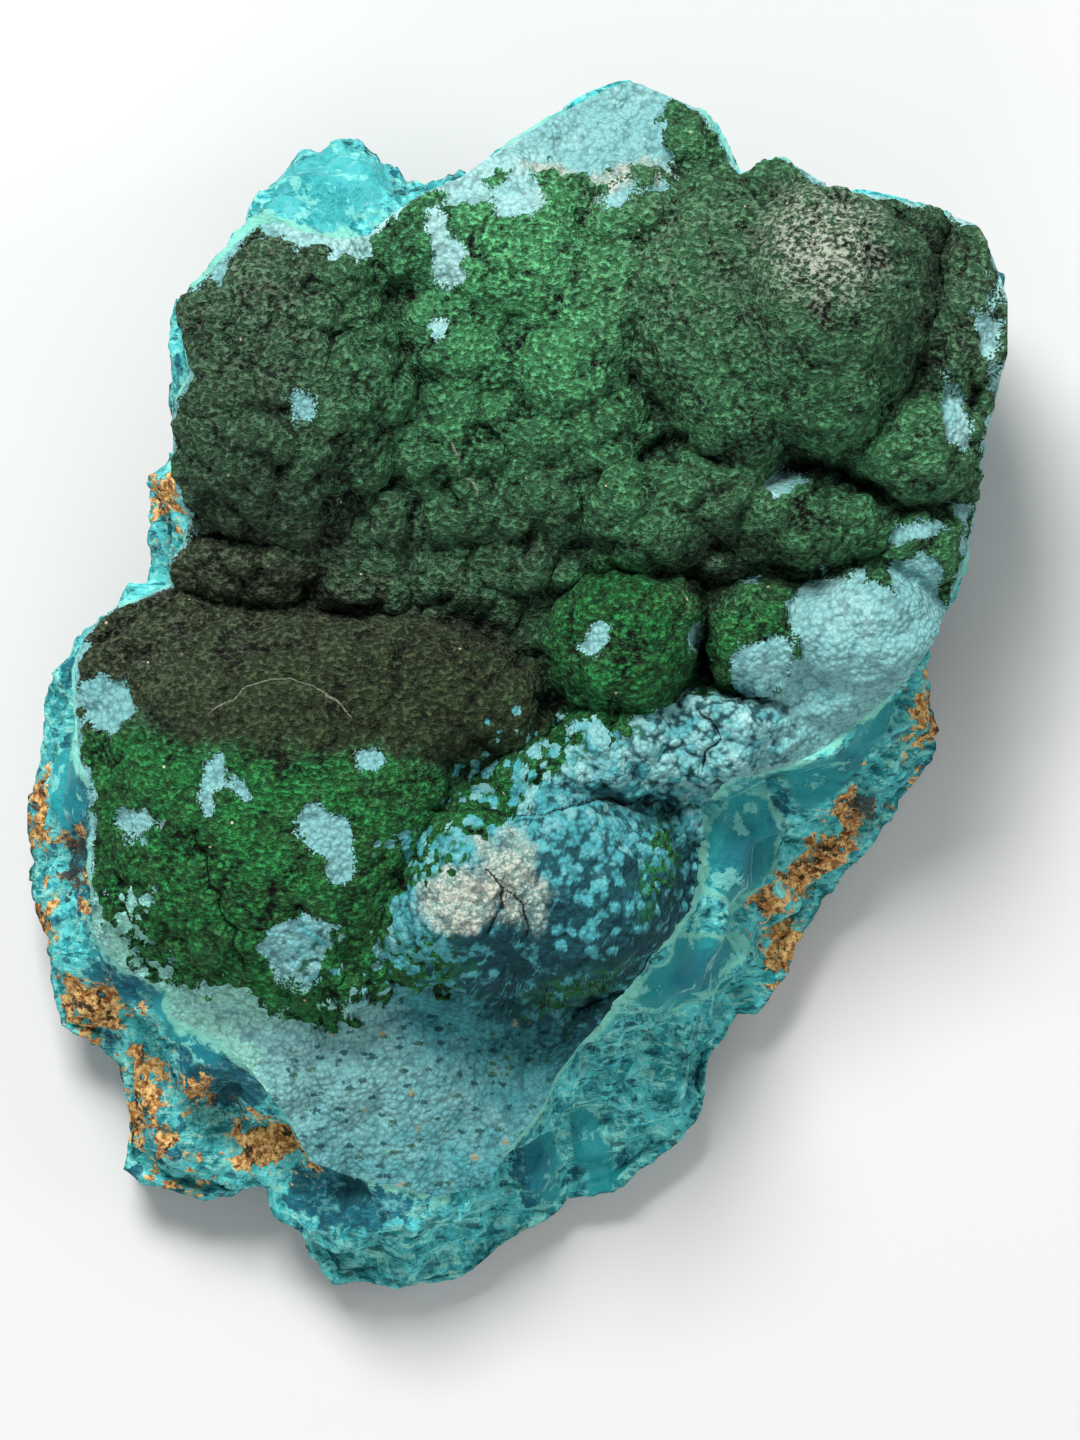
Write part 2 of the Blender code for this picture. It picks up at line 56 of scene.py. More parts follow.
# The specimen lies on its broken back on a plain pale floor, and the camera looks straight down at its
# crust, with the specimen's head uppermost in the picture. A picture of 1080 by 1440 pixels takes in 108 by
# 144 mm at the middle of the crust's height.
PICTURE_HEIGHT = 0.144
CAMERA_HEIGHT = 1.5
CRUST_MIDDLE_HEIGHT = 0.025
CAMERA_SPOT = (0.0027, -0.0033)
SENSOR = 36.0
camera_data = bpy.data.cameras.new("camera")
camera_data.sensor_width = SENSOR
camera_data.lens = SENSOR * (CAMERA_HEIGHT - CRUST_MIDDLE_HEIGHT) / PICTURE_HEIGHT
camera_data.clip_end = 10.0
camera = bpy.data.objects.new("camera", camera_data)
camera.location = (*CAMERA_SPOT, CAMERA_HEIGHT)
bpy.context.scene.collection.objects.link(camera)
bpy.context.scene.camera = camera

FLOOR_COLOUR = (0.60, 0.60, 0.59, 1.0)
FLOOR_ROUGHNESS = 0.8
FLOOR_SIZE = 6.0
bpy.ops.mesh.primitive_plane_add(size=FLOOR_SIZE, location=(0, 0, cad_box[0].z))
floor = bpy.context.active_object
floor.name = "floor"
floor_paint = bpy.data.materials.new("floor")
floor_paint.use_nodes = True
floor_surface = floor_paint.node_tree.nodes["Principled BSDF"].inputs
floor_surface["Base Color"].default_value = FLOOR_COLOUR
floor_surface["Roughness"].default_value = FLOOR_ROUGHNESS
floor.data.materials.append(floor_paint)

# A soft box beyond the specimen's head gives the light. Weak ones at its right and its foot and the sky fill
# the shade. Each lamp has a name, a place, the length of its sides in metres and a power in watts.
LIGHTS = (
    ("key", (-0.24, 0.72, 0.88), 0.45, 19.5),
    ("side", (0.8, 0.1, 0.5), 0.4, 2.0),
    ("fill", (-0.3, -0.9, 0.5), 0.8, 4.5),
)
SKY_COLOUR = (0.92, 0.96, 1.0, 1.0)
SKY_STRENGTH = 0.32
for name, spot, size, power in LIGHTS:
    light_data = bpy.data.lights.new(name, "AREA")
    light_data.size = size
    light_data.energy = power
    light = bpy.data.objects.new(name, light_data)
    light.location = spot
    light.rotation_euler = (-light.location).to_track_quat("-Z", "Y").to_euler()
    bpy.context.scene.collection.objects.link(light)
sky = bpy.data.worlds.new("sky")
sky.use_nodes = True
sky.node_tree.nodes["Background"].inputs["Color"].default_value = SKY_COLOUR
sky.node_tree.nodes["Background"].inputs["Strength"].default_value = SKY_STRENGTH
bpy.context.scene.world = sky
bpy.context.scene.view_settings.view_transform = "Standard"

# The crust: the face that the stone shows. Velvety malachite grew over knobby pale chrysocolla in lumps like
# a bunch of grapes. Where the velvet is missing, in a field at the foot, along the head and in patches, the
# pale knobs lie bare. It is one skin on the stone and ends at the broken edge.

# The stone's form, in mm from the middle of the slab, as the solid has it.

# The slab seen from above. Every point of both outlines can be seen from this middle.
MIDDLE = (1.0, 4.0)

# The outermost edge of the stone, counterclockwise from the right-hand side.
OUTLINE = (
    (42.1, 3.8), (43.1, 7.0), (44.6, 8.8), (45.4, 12.0), (45.4, 15.8), (46.4, 20.0), (47.2, 23.8),
    (47.1, 25.5), (48.7, 32.3), (49.6, 36.5), (49.6, 39.0), (49.0, 41.5), (47.9, 43.0), (46.9, 44.1),
    (46.5, 46.3), (43.9, 47.3), (38.9, 48.6), (33.9, 49.6), (31.7, 49.5), (28.9, 51.3), (27.1, 52.9),
    (25.4, 52.5), (23.9, 51.3), (22.7, 51.2), (22.3, 52.8), (21.1, 55.0), (19.9, 57.1), (18.7, 57.8),
    (17.2, 57.4), (15.4, 57.9), (13.9, 58.8), (13.4, 60.1), (11.9, 61.0), (8.9, 60.0), (6.4, 58.8),
    (2.9, 56.3), (-1.1, 53.6), (-3.9, 52.0), (-6.4, 52.1), (-7.3, 50.8), (-8.6, 50.5), (-10.6, 51.1),
    (-11.4, 52.3), (-13.1, 53.1), (-14.3, 54.5), (-15.6, 55.5), (-17.6, 55.3), (-19.3, 54.1),
    (-21.1, 54.2), (-22.1, 53.6), (-23.6, 52.0), (-24.9, 49.8), (-26.2, 47.3), (-26.3, 45.8),
    (-27.6, 45.0), (-28.1, 43.6), (-29.8, 42.3), (-30.1, 41.3), (-31.1, 40.3), (-33.3, 38.8),
    (-34.1, 36.3), (-33.8, 34.8), (-34.8, 29.8), (-34.6, 27.3), (-34.1, 24.8), (-34.6, 23.3),
    (-36.3, 20.8), (-36.7, 17.8), (-36.4, 14.8), (-35.9, 12.8), (-36.3, 10.4), (-38.4, 10.5),
    (-39.3, 8.0), (-41.1, 7.5), (-42.9, 6.3), (-43.6, 5.0), (-44.0, 3.3), (-46.1, 1.3), (-47.1, -2.7),
    (-47.9, -7.7), (-49.6, -12.2), (-49.3, -15.2), (-48.6, -17.7), (-49.1, -20.2), (-47.3, -25.7),
    (-47.1, -28.2), (-45.9, -34.5), (-43.6, -35.7), (-41.6, -36.2), (-39.6, -38.2), (-39.1, -41.2),
    (-38.9, -45.2), (-39.3, -48.7), (-37.6, -50.2), (-34.6, -51.2), (-32.1, -52.2), (-28.6, -51.7),
    (-26.1, -50.2), (-24.9, -50.7), (-24.1, -53.3), (-22.6, -54.2), (-21.3, -55.5), (-20.6, -57.4),
    (-19.1, -60.0), (-18.1, -60.7), (-14.6, -60.4), (-11.6, -61.0), (-7.1, -60.2), (-3.6, -59.0),
    (-1.1, -56.7), (1.9, -54.7), (4.4, -53.4), (5.7, -51.9), (8.4, -51.6), (11.4, -50.9),
    (12.9, -49.2), (17.4, -45.8), (19.3, -43.6), (19.8, -40.6), (20.1, -38.7), (20.5, -36.9),
    (21.9, -35.2), (22.9, -33.0), (24.6, -33.0), (26.5, -31.2), (28.9, -26.7), (31.4, -21.7),
    (35.4, -17.4), (39.4, -11.7), (41.4, -9.2), (43.6, -4.5), (42.6, -1.2), (42.2, 1.6),
)

# Where the crust is broken off. Round the head and the right shoulder the crust runs out to the outline.
CRUST_EDGE = (
    (42.0, 4.5), (43.1, 7.0), (45.3, 13.0), (47.1, 24.5), (49.5, 38.0), (46.5, 46.0), (31.7, 49.4),
    (27.1, 52.8), (22.7, 51.1), (19.0, 57.6), (11.9, 60.8), (3.0, 56.2), (-2.5, 52.6), (-5.0, 50.8),
    (-9.0, 49.0), (-12.0, 47.0), (-14.2, 45.0), (-17.0, 44.5), (-20.5, 45.2), (-23.5, 46.4),
    (-25.5, 45.8), (-28.0, 43.4), (-31.0, 40.1), (-33.2, 38.4), (-32.2, 34.0), (-31.8, 31.0),
    (-33.4, 28.0), (-33.6, 23.0), (-33.4, 20.0), (-32.0, 17.0), (-32.6, 14.5), (-34.2, 12.5),
    (-34.0, 10.2), (-38.6, 8.2), (-42.2, 6.0), (-43.6, 3.0), (-43.4, -3.0), (-43.2, -7.0),
    (-42.2, -9.5), (-41.8, -14.0), (-42.0, -20.0), (-41.8, -25.0), (-38.5, -28.5), (-34.5, -30.2),
    (-34.0, -33.0), (-29.0, -35.5), (-26.0, -38.5), (-22.5, -43.0), (-20.2, -47.6), (-16.5, -49.0),
    (-12.0, -50.0), (-7.5, -51.2), (-2.5, -50.0), (0.0, -46.0), (3.2, -42.0), (4.5, -39.0),
    (6.8, -36.0), (9.5, -32.8), (12.0, -29.5), (14.8, -25.5), (18.2, -21.5), (18.8, -17.0),
    (19.0, -11.5), (22.0, -9.0), (27.5, -7.8), (31.0, -6.2), (35.0, -3.0), (39.2, 0.5),
)

# Round the sides: direction from the middle in degrees, the height of the outermost edge, how full the
# broken face bulges between crust and edge (1 is straight, 2 is round), and how far the foot stands in.
SIDES = (
    (-180, 9, 1.3, 7), (-163, 7, 1.3, 7), (-145, 7, 1.1, 6), (-128, 6, 1.1, 6), (-116, 6, 1.0, 7),
    (-105, 4, 1.3, 5), (-90, 4, 1.2, 6), (-70, 5, 1.0, 6), (-55, 6, 1.1, 6), (-30, 7, 1.2, 6),
    (-10, 8, 1.6, 7), (2, 14, 1.5, 9), (15, 18, 1.5, 10), (42, 20, 1.5, 11), (62, 21, 1.5, 11),
    (78, 15, 1.5, 12), (95, 13, 1.8, 10), (108, 10, 2.2, 8), (120, 12, 2.0, 8), (135, 14, 1.4, 9),
    (158, 12, 1.3, 8), (172, 11, 1.3, 7),
)

# Heights of the crust between its lumps, as spots on a map: x, y and height. The ground in between is their
# average, each weighed by a bell curve this wide.
SPOT_REACH = 6.5
SPOTS = (
    (-13, 45, 28), (-6, 50, 27), (3, 51, 30), (9, 51, 32), (14, 52, 32), (19, 51, 31), (27, 49, 29),
    (3, 56, 20), (9, 59, 16), (13, 60, 15), (19, 57, 21), (27, 53, 22), (39, 47, 28), (46, 45, 25),
    (-6, 38, 31), (5, 39, 32), (13, 44, 32), (-5, 28, 31), (6, 27, 32), (14, 28, 31), (44, 38, 31),
    (49, 35, 25), (40, 32, 31), (46, 20, 23), (37, 19, 26), (27, 20, 28), (16, 21, 29), (9, 14, 28),
    (-6, 16, 27), (-16, 15, 25), (-26, 12, 22), (-34, 11, 19), (-6, 6, 25), (5, 8, 25), (19, 8, 24),
    (28, 10, 25), (39, 8, 23), (44, 8, 20), (-33, 36, 23), (-31, 41, 22), (-33, 20, 19), (-27, 45, 22),
    (-40, 7, 19), (-44, 1, 17), (-42, -8, 18), (-42, -20, 17), (-36, -28, 18), (-26, -30, 22),
    (-15, -28, 23), (-10, -20, 23), (-6, -8, 26), (2, -3, 26), (10, -4, 26), (19, -3, 25), (29, -1, 24),
    (39, 1, 21), (15, -11, 25), (21, -9, 22), (19, -18, 20), (16, -24, 17), (9, -32, 15), (4, -38, 14),
    (-32, -33, 18), (-20, -35, 22), (-10, -34, 21), (0, -34, 17), (-22, -42, 17), (-11, -41, 19),
    (0, -42, 15), (-16, -49, 13), (-6, -50, 13),
)

# The lumps of the crust. Each is the top of an egg: its middle, half its width and length, the turn of its
# long side in degrees, the height of its top, and how deep the egg is.
LUMPS = (
    # The long lump at the left shoulder.
    (-22.8, 31.0, 11.4, 15.4, -10, 38.5, 9.5), (-27.0, 24.0, 6.5, 6.5, 0, 34.0, 7),
    # The great lump at the right shoulder: a low dome, a high one on it, and the two lobes that hang from it.
    (23.5, 38.0, 12.6, 11.8, 0, 38.2, 7.5), (30.4, 39.2, 8.4, 9.4, 0, 43.0, 8),
    (22.6, 28.4, 6.3, 5.8, 0, 38.4, 8), (31.2, 31.6, 6.6, 6.4, 0, 40.2, 8),
    # The shelf to the right of it.
    (44.2, 37.0, 6.4, 10.0, -6, 34.6, 7), (39.4, 25.8, 7.2, 6.8, 0, 34.6, 7.5),
    (40.0, 14.0, 6.4, 5.6, 0, 29.6, 6),
    # The rounded steps under both.
    (13.0, 17.3, 6.4, 5.8, 0, 34.2, 5.5), (20.6, 20.0, 6.4, 4.8, 20, 33.6, 4.5),
    (29.0, 17.0, 8.2, 5.6, -16, 32.8, 6), (20.5, 13.0, 4.2, 3.4, 0, 28.6, 3.5),
    (5.0, 18.8, 5.6, 4.4, 0, 32.0, 3.5), (-3.2, 17.6, 6.0, 4.2, 0, 31.0, 3.5),
    (-11.0, 18.0, 5.2, 4.6, 0, 30.2, 3.5), (-18.0, 15.6, 5.2, 4.2, 15, 28.6, 3.5),
    (-13.5, 11.4, 6.0, 4.2, 0, 28.0, 3.2), (-5.0, 11.2, 5.2, 3.8, 0, 28.2, 3),
    (2.5, 12.4, 4.8, 3.8, 0, 29.0, 3), (-24.0, 12.2, 4.8, 3.8, 0, 26.2, 3.2),
    (-30.5, 9.4, 5.0, 3.8, 0, 24.4, 3.2),
    # The broad swell between the two shoulders.
    (-8.0, 44.5, 6.0, 5.0, 0, 32.2, 3), (1.0, 43.0, 7.2, 5.4, 0, 33.6, 3),
    (9.0, 39.0, 6.4, 5.2, 0, 33.8, 2.6), (12.5, 46.5, 5.4, 4.2, 0, 33.6, 3),
    (-4.5, 34.0, 6.4, 5.4, 0, 33.0, 3), (5.0, 31.5, 7.2, 5.4, 0, 33.8, 3),
    (-7.5, 25.4, 6.0, 5.2, 0, 32.2, 3), (1.0, 24.4, 6.0, 4.8, 0, 32.8, 3), (9.2, 25.0, 5.8, 4.8, 0, 33.4, 3),
    (19.0, 54.0, 4.4, 4.4, 0, 29.0, 7), (27.0, 51.0, 4.0, 2.6, -10, 28.6, 5),
    (39.0, 46.6, 8.0, 2.6, -14, 28.4, 3),
    # The cushion at the lower left.
    (-22.5, -10.0, 19.5, 17.4, 0, 34.6, 11), (-12.0, -1.0, 14.5, 7.6, -8, 32.6, 6.5),
    (-36.5, -0.5, 7.4, 7.8, 0, 27.0, 6), (-38.0, -17.0, 6.0, 9.0, 0, 26.0, 6),
    (-18.0, -26.0, 9.0, 5.0, 0, 27.5, 5.5),
    # The row of balls to the right of the cushion.
    (11.3, 3.7, 7.8, 7.5, 0, 34.2, 9.5), (25.2, 4.0, 6.4, 6.2, 0, 31.2, 8),
    (34.6, 5.6, 7.8, 6.8, 0, 31.4, 7.5),
    # The blue slope below them.
    (22.0, -4.6, 6.4, 5.0, 0, 28.6, 4), (11.5, -6.4, 7.0, 5.2, 0, 29.4, 4),
    (4.0, -10.4, 6.0, 5.0, 0, 29.8, 4), (31.0, 0.2, 6.0, 4.6, 0, 27.0, 4),
    # The cracked pale ball.
    (4.4, -19.6, 14.4, 11.2, -6, 34.4, 15), (-2.2, -19.6, 9.0, 8.2, 0, 35.0, 8),
    (-6.5, -26.0, 5.0, 4.2, 0, 28.0, 5),
)

# The deepest crevices between the lumps: middle, half width, half length, turn and depth of each.
CREVICES = (
    # Under the left shoulder, and along the head of the cushion.
    (-26.5, 14.8, 5.5, 1.5, -8, 4.0), (-17.5, 7.2, 5.0, 1.2, 0, 2.0), (-3.0, 4.6, 4.0, 1.2, -20, 2.6),
    # Round the middle ball of the row.
    (19.5, 3.4, 1.0, 4.4, 0, 3.6), (22.6, -0.9, 3.2, 1.0, -12, 3.0),
    # A crescent round the foot of the pale ball, inside the raised rim.
    (-6.5, -30.2, 3.6, 1.3, -15, 3.0), (1.0, -31.8, 4.6, 1.5, 0, 3.6), (8.0, -31.0, 3.6, 1.6, 22, 4.0),
    (13.4, -27.0, 1.7, 4.6, -45, 4.6), (17.4, -20.2, 1.5, 4.4, -12, 3.8),
)

# A lump is round out to this share of its half width. Below 2, the power makes its top pointed, above 2 flat.
SHOULDER = 0.86
LUMP_POWER = 2.2

# A lump's outline wanders this far, in waves this wide, with finer waves on them.
BEND = 1.5
BEND_WIDTH = 13.0
FINE_BEND = 0.6
FINE_BEND_WIDTH = 4.3

# Where two lumps are within this height of each other, the crease between them is partly filled.
CREASE = 1.6

# Small knobs all over the crust, in two sizes: their spacing and height.
KNOB_SPACING = 6.0
KNOB_HEIGHT = 2.0
SMALL_KNOB_SPACING = 3.3
SMALL_KNOB_HEIGHT = 1.0

# Where the knobs are lower: middle, half width, half length and the share of their height that is missing.
SMOOTHER_SPOTS = (
    (-22.0, -10.0, 19.0, 16.0, 0.75), (4.0, -19.0, 12.0, 9.0, 0.5), (-4.0, -41.0, 14.0, 8.0, 0.6),
    (1.0, 40.0, 13.0, 11.0, 0.5), (26.0, 37.0, 12.0, 12.0, 0.6), (11.3, 3.7, 7.0, 7.0, 0.6),
)

# The outermost edge lies at least this far out from the crust's edge and this far below it. The crust's
# knobs run on down the broken side for this share of the way to the outermost edge.
LEAST_REACH = 0.2
LEAST_DROP = 2.0
KNOB_RUN_OUT = 0.25

# Shell-shaped chips on the broken sides. Their bowls end in blunt ridges at this share of their depth, and
# the surface runs level with this share of it.
CHIP_WIDTH = 11.0
CHIP_DEPTH = 2.8
CHIP_BEND = 3.7
CHIP_RIDGE = 1.2
CHIP_LEVEL = 0.8

# Rounded ledges and small unevenness on the broken sides, and the hollows in the back.
LEDGE_SPACING = 8.0
LEDGE_DEPTH = 1.3
UNEVEN_WIDTH = 5.0
UNEVEN_DEPTH = 0.6
HOLLOW_WIDTH = 17.0
HOLLOW_DEPTH = 3.2

# The ridges on the broken sides stand out past the outline by this much at most.
OVERHANG = 0.3

# A seed's lot is drawn with a seed number this much higher than its place.
LOT_SEED_STEP = 7


def scatter(cell, seed):
    """A steady random number from 0 to 1 for each whole-number cell of space."""
    mixed = (cell[:, 0] * 73856093) ^ (cell[:, 1] * 19349663) ^ (cell[:, 2] * 83492791) ^ (seed * 97531)
    mixed = ((mixed ^ (mixed >> 13)) & 0xFFFFFF) * 1274126177
    mixed = mixed ^ (mixed >> 17)
    return (mixed & 0xFFFF) / 0x10000


def ripple(points, width, seed):
    """Smooth noise from -1 to 1: random values at the corners of cubes this wide, blended between them.

    Each use has a seed number of its own, so that no two patterns are alike."""
    at = points / width
    cell = np.floor(at).astype(np.int64)
    part = at - cell
    blend = part * part * (3 - 2 * part)
    total = np.zeros(len(points))
    for corner in np.ndindex(2, 2, 2):
        weight = np.where(corner, blend, 1 - blend).prod(axis=1)
        total += weight * scatter(cell + np.array(corner), seed)
    return 2 * total - 1


def seeds_near(points, width, seed):
    """The seeds round each point, one to each cube this wide: each one's cube, and the way to the point."""
    at = points / width
    cell = np.floor(at).astype(np.int64)
    for step in np.ndindex(3, 3, 3):
        neighbour = cell + np.array(step) - 1
        place = neighbour + np.stack([scatter(neighbour, seed + axis) for axis in range(3)], axis=1)
        yield neighbour, at - place


def nearest_seed(points, width, seed):
    """Distance to the nearest of the seeds that lie one to each cube this wide, in cube widths."""
    nearest = np.full(len(points), 3.0)
    for _, way in seeds_near(points, width, seed):
        nearest = np.minimum(nearest, np.linalg.norm(way, axis=1))
    return nearest


def nearest_lot(points, width, seed):
    """The random number from 0 to 1 that belongs to the nearest seed, so that each knob has one."""
    nearest = np.full(len(points), 9.0)
    lot = np.zeros(len(points))
    for cube, way in seeds_near(points, width, seed):
        distance = (way**2).sum(axis=1)
        lot = np.where(distance < nearest, scatter(cube, seed + LOT_SEED_STEP), lot)
        nearest = np.minimum(nearest, distance)
    return lot


def ring(outline, angles):
    """How far an outline lies from the middle in each direction, straight between its points."""
    offset = np.array(outline) - MIDDLE
    return np.interp(angles, np.arctan2(offset[:, 1], offset[:, 0]), np.hypot(offset[:, 0], offset[:, 1]),
                     period=2 * math.pi)


def side(angles, column):
    """One of the measures of SIDES in each direction."""
    table = np.array(SIDES, float)
    return np.interp(np.degrees(angles), table[:, 0], table[:, column], period=360)


def joined(one, other, reach):
    """The higher of two heights, with the crease between them filled over this reach."""
    overlap = np.clip(reach - np.abs(one - other), 0, None)
    return np.maximum(one, other) + overlap**2 / (4 * reach)


def turned(x, y, turn):
    """x and y measured along axes that are turned counterclockwise by some degrees."""
    turn = math.radians(turn)
    return x * math.cos(turn) + y * math.sin(turn), y * math.cos(turn) - x * math.sin(turn)


def lump_profile(distance):
    """How high a lump stands, from 1 at its middle: round on top, and straight down from its shoulder."""
    round_part = np.sqrt(1 - np.minimum(distance, SHOULDER) ** LUMP_POWER)
    slope = LUMP_POWER * SHOULDER ** (LUMP_POWER - 1) / (2 * math.sqrt(1 - SHOULDER**LUMP_POWER))
    return round_part - slope * np.clip(distance - SHOULDER, 0, None)


def crust_height(x, y):
    """Height of the crust: the spots' average, or the highest of the lumps that stand out of it there."""
    weight_sum = np.zeros(len(x))
    height_sum = np.zeros(len(x))
    for spot_x, spot_y, height in SPOTS:
        weight = np.exp(-((x - spot_x) ** 2 + (y - spot_y) ** 2) / (2 * SPOT_REACH**2)) + 1e-12
        weight_sum += weight
        height_sum += weight * height
    crust = height_sum / weight_sum
    flat = np.stack([x, y, np.zeros(len(x))], axis=1)
    bent_x = x + BEND * ripple(flat, BEND_WIDTH, 51) + FINE_BEND * ripple(flat, FINE_BEND_WIDTH, 52)
    bent_y = y + BEND * ripple(flat, BEND_WIDTH, 53) + FINE_BEND * ripple(flat, FINE_BEND_WIDTH, 54)
    for lump_x, lump_y, half_width, half_length, turn, top, rise in LUMPS:
        across, along = turned(bent_x - lump_x, bent_y - lump_y, turn)
        lump = top - rise * (1 - lump_profile(np.hypot(across / half_width, along / half_length)))
        crust = joined(crust, lump, CREASE)
    for crevice_x, crevice_y, half_width, half_length, turn, depth in CREVICES:
        across, along = turned(x - crevice_x, y - crevice_y, turn)
        crust -= depth * np.exp(-((across / half_width) ** 2) - (along / half_length) ** 2)
    return crust


def smoothness(x, y):
    """The share of the knobs' height that is missing."""
    missing = np.zeros(len(x))
    for spot_x, spot_y, half_width, half_length, share in SMOOTHER_SPOTS:
        reach = np.hypot((x - spot_x) / half_width, (y - spot_y) / half_length)
        missing = np.maximum(missing, share * np.exp(-(reach**4)))
    return missing


def knobs(x, y, crust):
    """Height of the small knobs on the crust, which meet in sharp creases."""
    at = np.stack([x, y, crust], axis=1)
    large = KNOB_HEIGHT * (0.5 - nearest_seed(at, KNOB_SPACING, 11) ** 2)
    small = SMALL_KNOB_HEIGHT * (0.5 - nearest_seed(at, SMALL_KNOB_SPACING, 12) ** 2)
    return (large + small) * (1 - smoothness(x, y))


def round_from_square(u, v):
    """A square's point taken into the circle of radius 1: its distance from the middle and its direction."""
    x = u * np.sqrt(1 - v * v / 2)
    y = v * np.sqrt(1 - u * u / 2)
    return np.clip(np.hypot(x, y), 0, 1), np.arctan2(y, x)


def place(radius, angles):
    """x and y at a distance from the middle in each direction."""
    return MIDDLE[0] + radius * np.cos(angles), MIDDLE[1] + radius * np.sin(angles)


def top_of(share, angles):
    """The crust: share is 0 at the middle and 1 at the crust's edge, where the knobs end."""
    x, y = place(share * ring(CRUST_EDGE, angles), angles)
    crust = crust_height(x, y)
    return np.stack([x, y, crust + knobs(x, y, crust)], axis=1)


def foot(angles):
    """Distance from the middle to the edge of the face that the stone lies on."""
    return ring(OUTLINE, angles) - side(angles, 3)


def side_of(down, angles):
    """The broken side, still smooth, and the way that each of its points faces.

    Down is 0 at the crust's edge, 0.5 at the outline and 1 at the foot."""
    edge = ring(CRUST_EDGE, angles)
    outer = np.maximum(ring(OUTLINE, angles), edge + LEAST_REACH)
    inset = foot(angles) - outer
    upper, lower = np.clip(down * 2, 0, 1), np.clip(down * 2 - 1, 0, 1)
    edge_x, edge_y = place(edge, angles)
    edge_height = crust_height(edge_x, edge_y)
    edge_height += knobs(edge_x, edge_y, edge_height) * np.clip(1 - upper / KNOB_RUN_OUT, 0, 1)
    outer_height = np.minimum(side(angles, 1), edge_height - LEAST_DROP)
    height = edge_height + (outer_height - edge_height) * upper ** side(angles, 2)
    x, y = place(edge + (outer - edge) * upper + inset * lower, angles)
    tilt = np.where(down < 0.5, (outer - edge) / (edge_height - outer_height), inset / outer_height)
    facing = np.stack([np.cos(angles), np.sin(angles), tilt], axis=1)
    facing /= np.linalg.norm(facing, axis=1, keepdims=True)
    return np.stack([x, y, height * (1 - lower)], axis=1), facing


def back_of(share, angles):
    """The back: share is 0 at the middle and 1 at the foot. Between its shallow hollows it is level."""
    x, y = place(share * foot(angles), angles)
    flat = np.stack([x, y, np.zeros(len(x))], axis=1)
    hollow = np.clip(ripple(flat, HOLLOW_WIDTH, 5), 0, None) * HOLLOW_DEPTH * (1 - share**4)
    return flat + [[0, 0, 1]] * hollow[:, None]


def room_left(points):
    """How far each point can move outwards until it is past the outline."""
    out_x, out_y = points[:, 0] - MIDDLE[0], points[:, 1] - MIDDLE[1]
    room = ring(OUTLINE, np.arctan2(out_y, out_x)) + OVERHANG - np.hypot(out_x, out_y)
    return np.clip(room, 0, None)


def broken(points, facing, down):
    """The broken side: shell-shaped chips that meet in blunt ridges, with ledges across them.

    The crust's edge, the outline and the foot keep their places, so that each face meets its neighbours."""
    bent = points + CHIP_BEND * np.stack([ripple(points, CHIP_WIDTH, seed) for seed in (22, 23, 24)], axis=1)
    bowl = 2 * nearest_seed(bent, CHIP_WIDTH, 21) ** 2
    chips = CHIP_DEPTH * (np.minimum(bowl, CHIP_RIDGE) - CHIP_LEVEL)
    ledges = LEDGE_DEPTH * np.sin(2 * math.pi * bent[:, 2] / LEDGE_SPACING)
    uneven = UNEVEN_DEPTH * ripple(points, UNEVEN_WIDTH, 41)
    half = np.where(down < 0.5, 2 * down, 2 * down - 1)
    share = np.sqrt(np.clip(4 * half * (1 - half), 0, 1))
    depth = np.minimum(share * (chips + ledges + uneven), room_left(points))
    return points + facing * depth[:, None]


# The middle of the stone's box, which stands over the origin of the frame. It is read from the corners of the
# solid's broken sides, on this many levels and in this many directions.
SOLID_LEVELS = 13
SOLID_DIRECTIONS = 289
rim_down, rim_angles = np.meshgrid(
    np.linspace(0, 1, SOLID_LEVELS), np.linspace(-math.pi, math.pi, SOLID_DIRECTIONS)
)
rim = broken(*side_of(rim_down.ravel(), rim_angles.ravel()), rim_down.ravel())
BOX_MIDDLE = (rim.min(axis=0) + rim.max(axis=0)) / 2 * (1, 1, 0)
BOX_LOW, BOX_HIGH = (np.array(corner) / MM for corner in cad_box)
# The scene's pieces stay this far inside the solid's box.
BOX_MARGIN = 0.01

# The grid has this many squares each way. Their corners on the crust's edge are where the broken sides start.
CRUST_SQUARES = 312


def square_grid(squares):
    """Even grid over the square from -1 to 1: its u and v, each as a table."""
    steps = np.linspace(-1, 1, squares + 1)
    return np.meshgrid(steps, steps, indexing="ij")


def border(table):
    """The outer corners of a grid, once round, counterclockwise."""
    return np.concatenate([table[:-1, 0], table[-1, :-1], table[:0:-1, -1], table[0, :0:-1]])


def facing_of(grid):
    """The way that a grid of points faces: the cross product of its two directions, at length 1."""
    facing = np.cross(np.gradient(grid, axis=0), np.gradient(grid, axis=1))
    facing[..., 2] += 1e-9
    return facing / np.linalg.norm(facing, axis=-1, keepdims=True)


def stretch_distance(x, y, start, way):
    """Distance to a straight stretch, from its start and the way along it."""
    share = np.clip(((x - start[0]) * way[0] + (y - start[1]) * way[1]) / (way @ way), 0, 1)
    return np.hypot(x - start[0] - share * way[0], y - start[1] - share * way[1])


def depth_inside(x, y, outline):
    """How far each point lies inside a closed outline in mm, negative outside it."""
    inside = np.zeros(x.shape, bool)
    nearest = np.full(x.shape, 1e9)
    corners = np.array(outline, float)
    for start, way in zip(corners, np.roll(corners, -1, axis=0) - corners):
        nearest = np.minimum(nearest, stretch_distance(x, y, start, way))
        if way[1]:
            crosses = (start[1] > y) != (start[1] + way[1] > y)
            inside ^= crosses & (x < start[0] + way[0] * (y - start[1]) / way[1])
    return np.where(inside, nearest, -nearest)


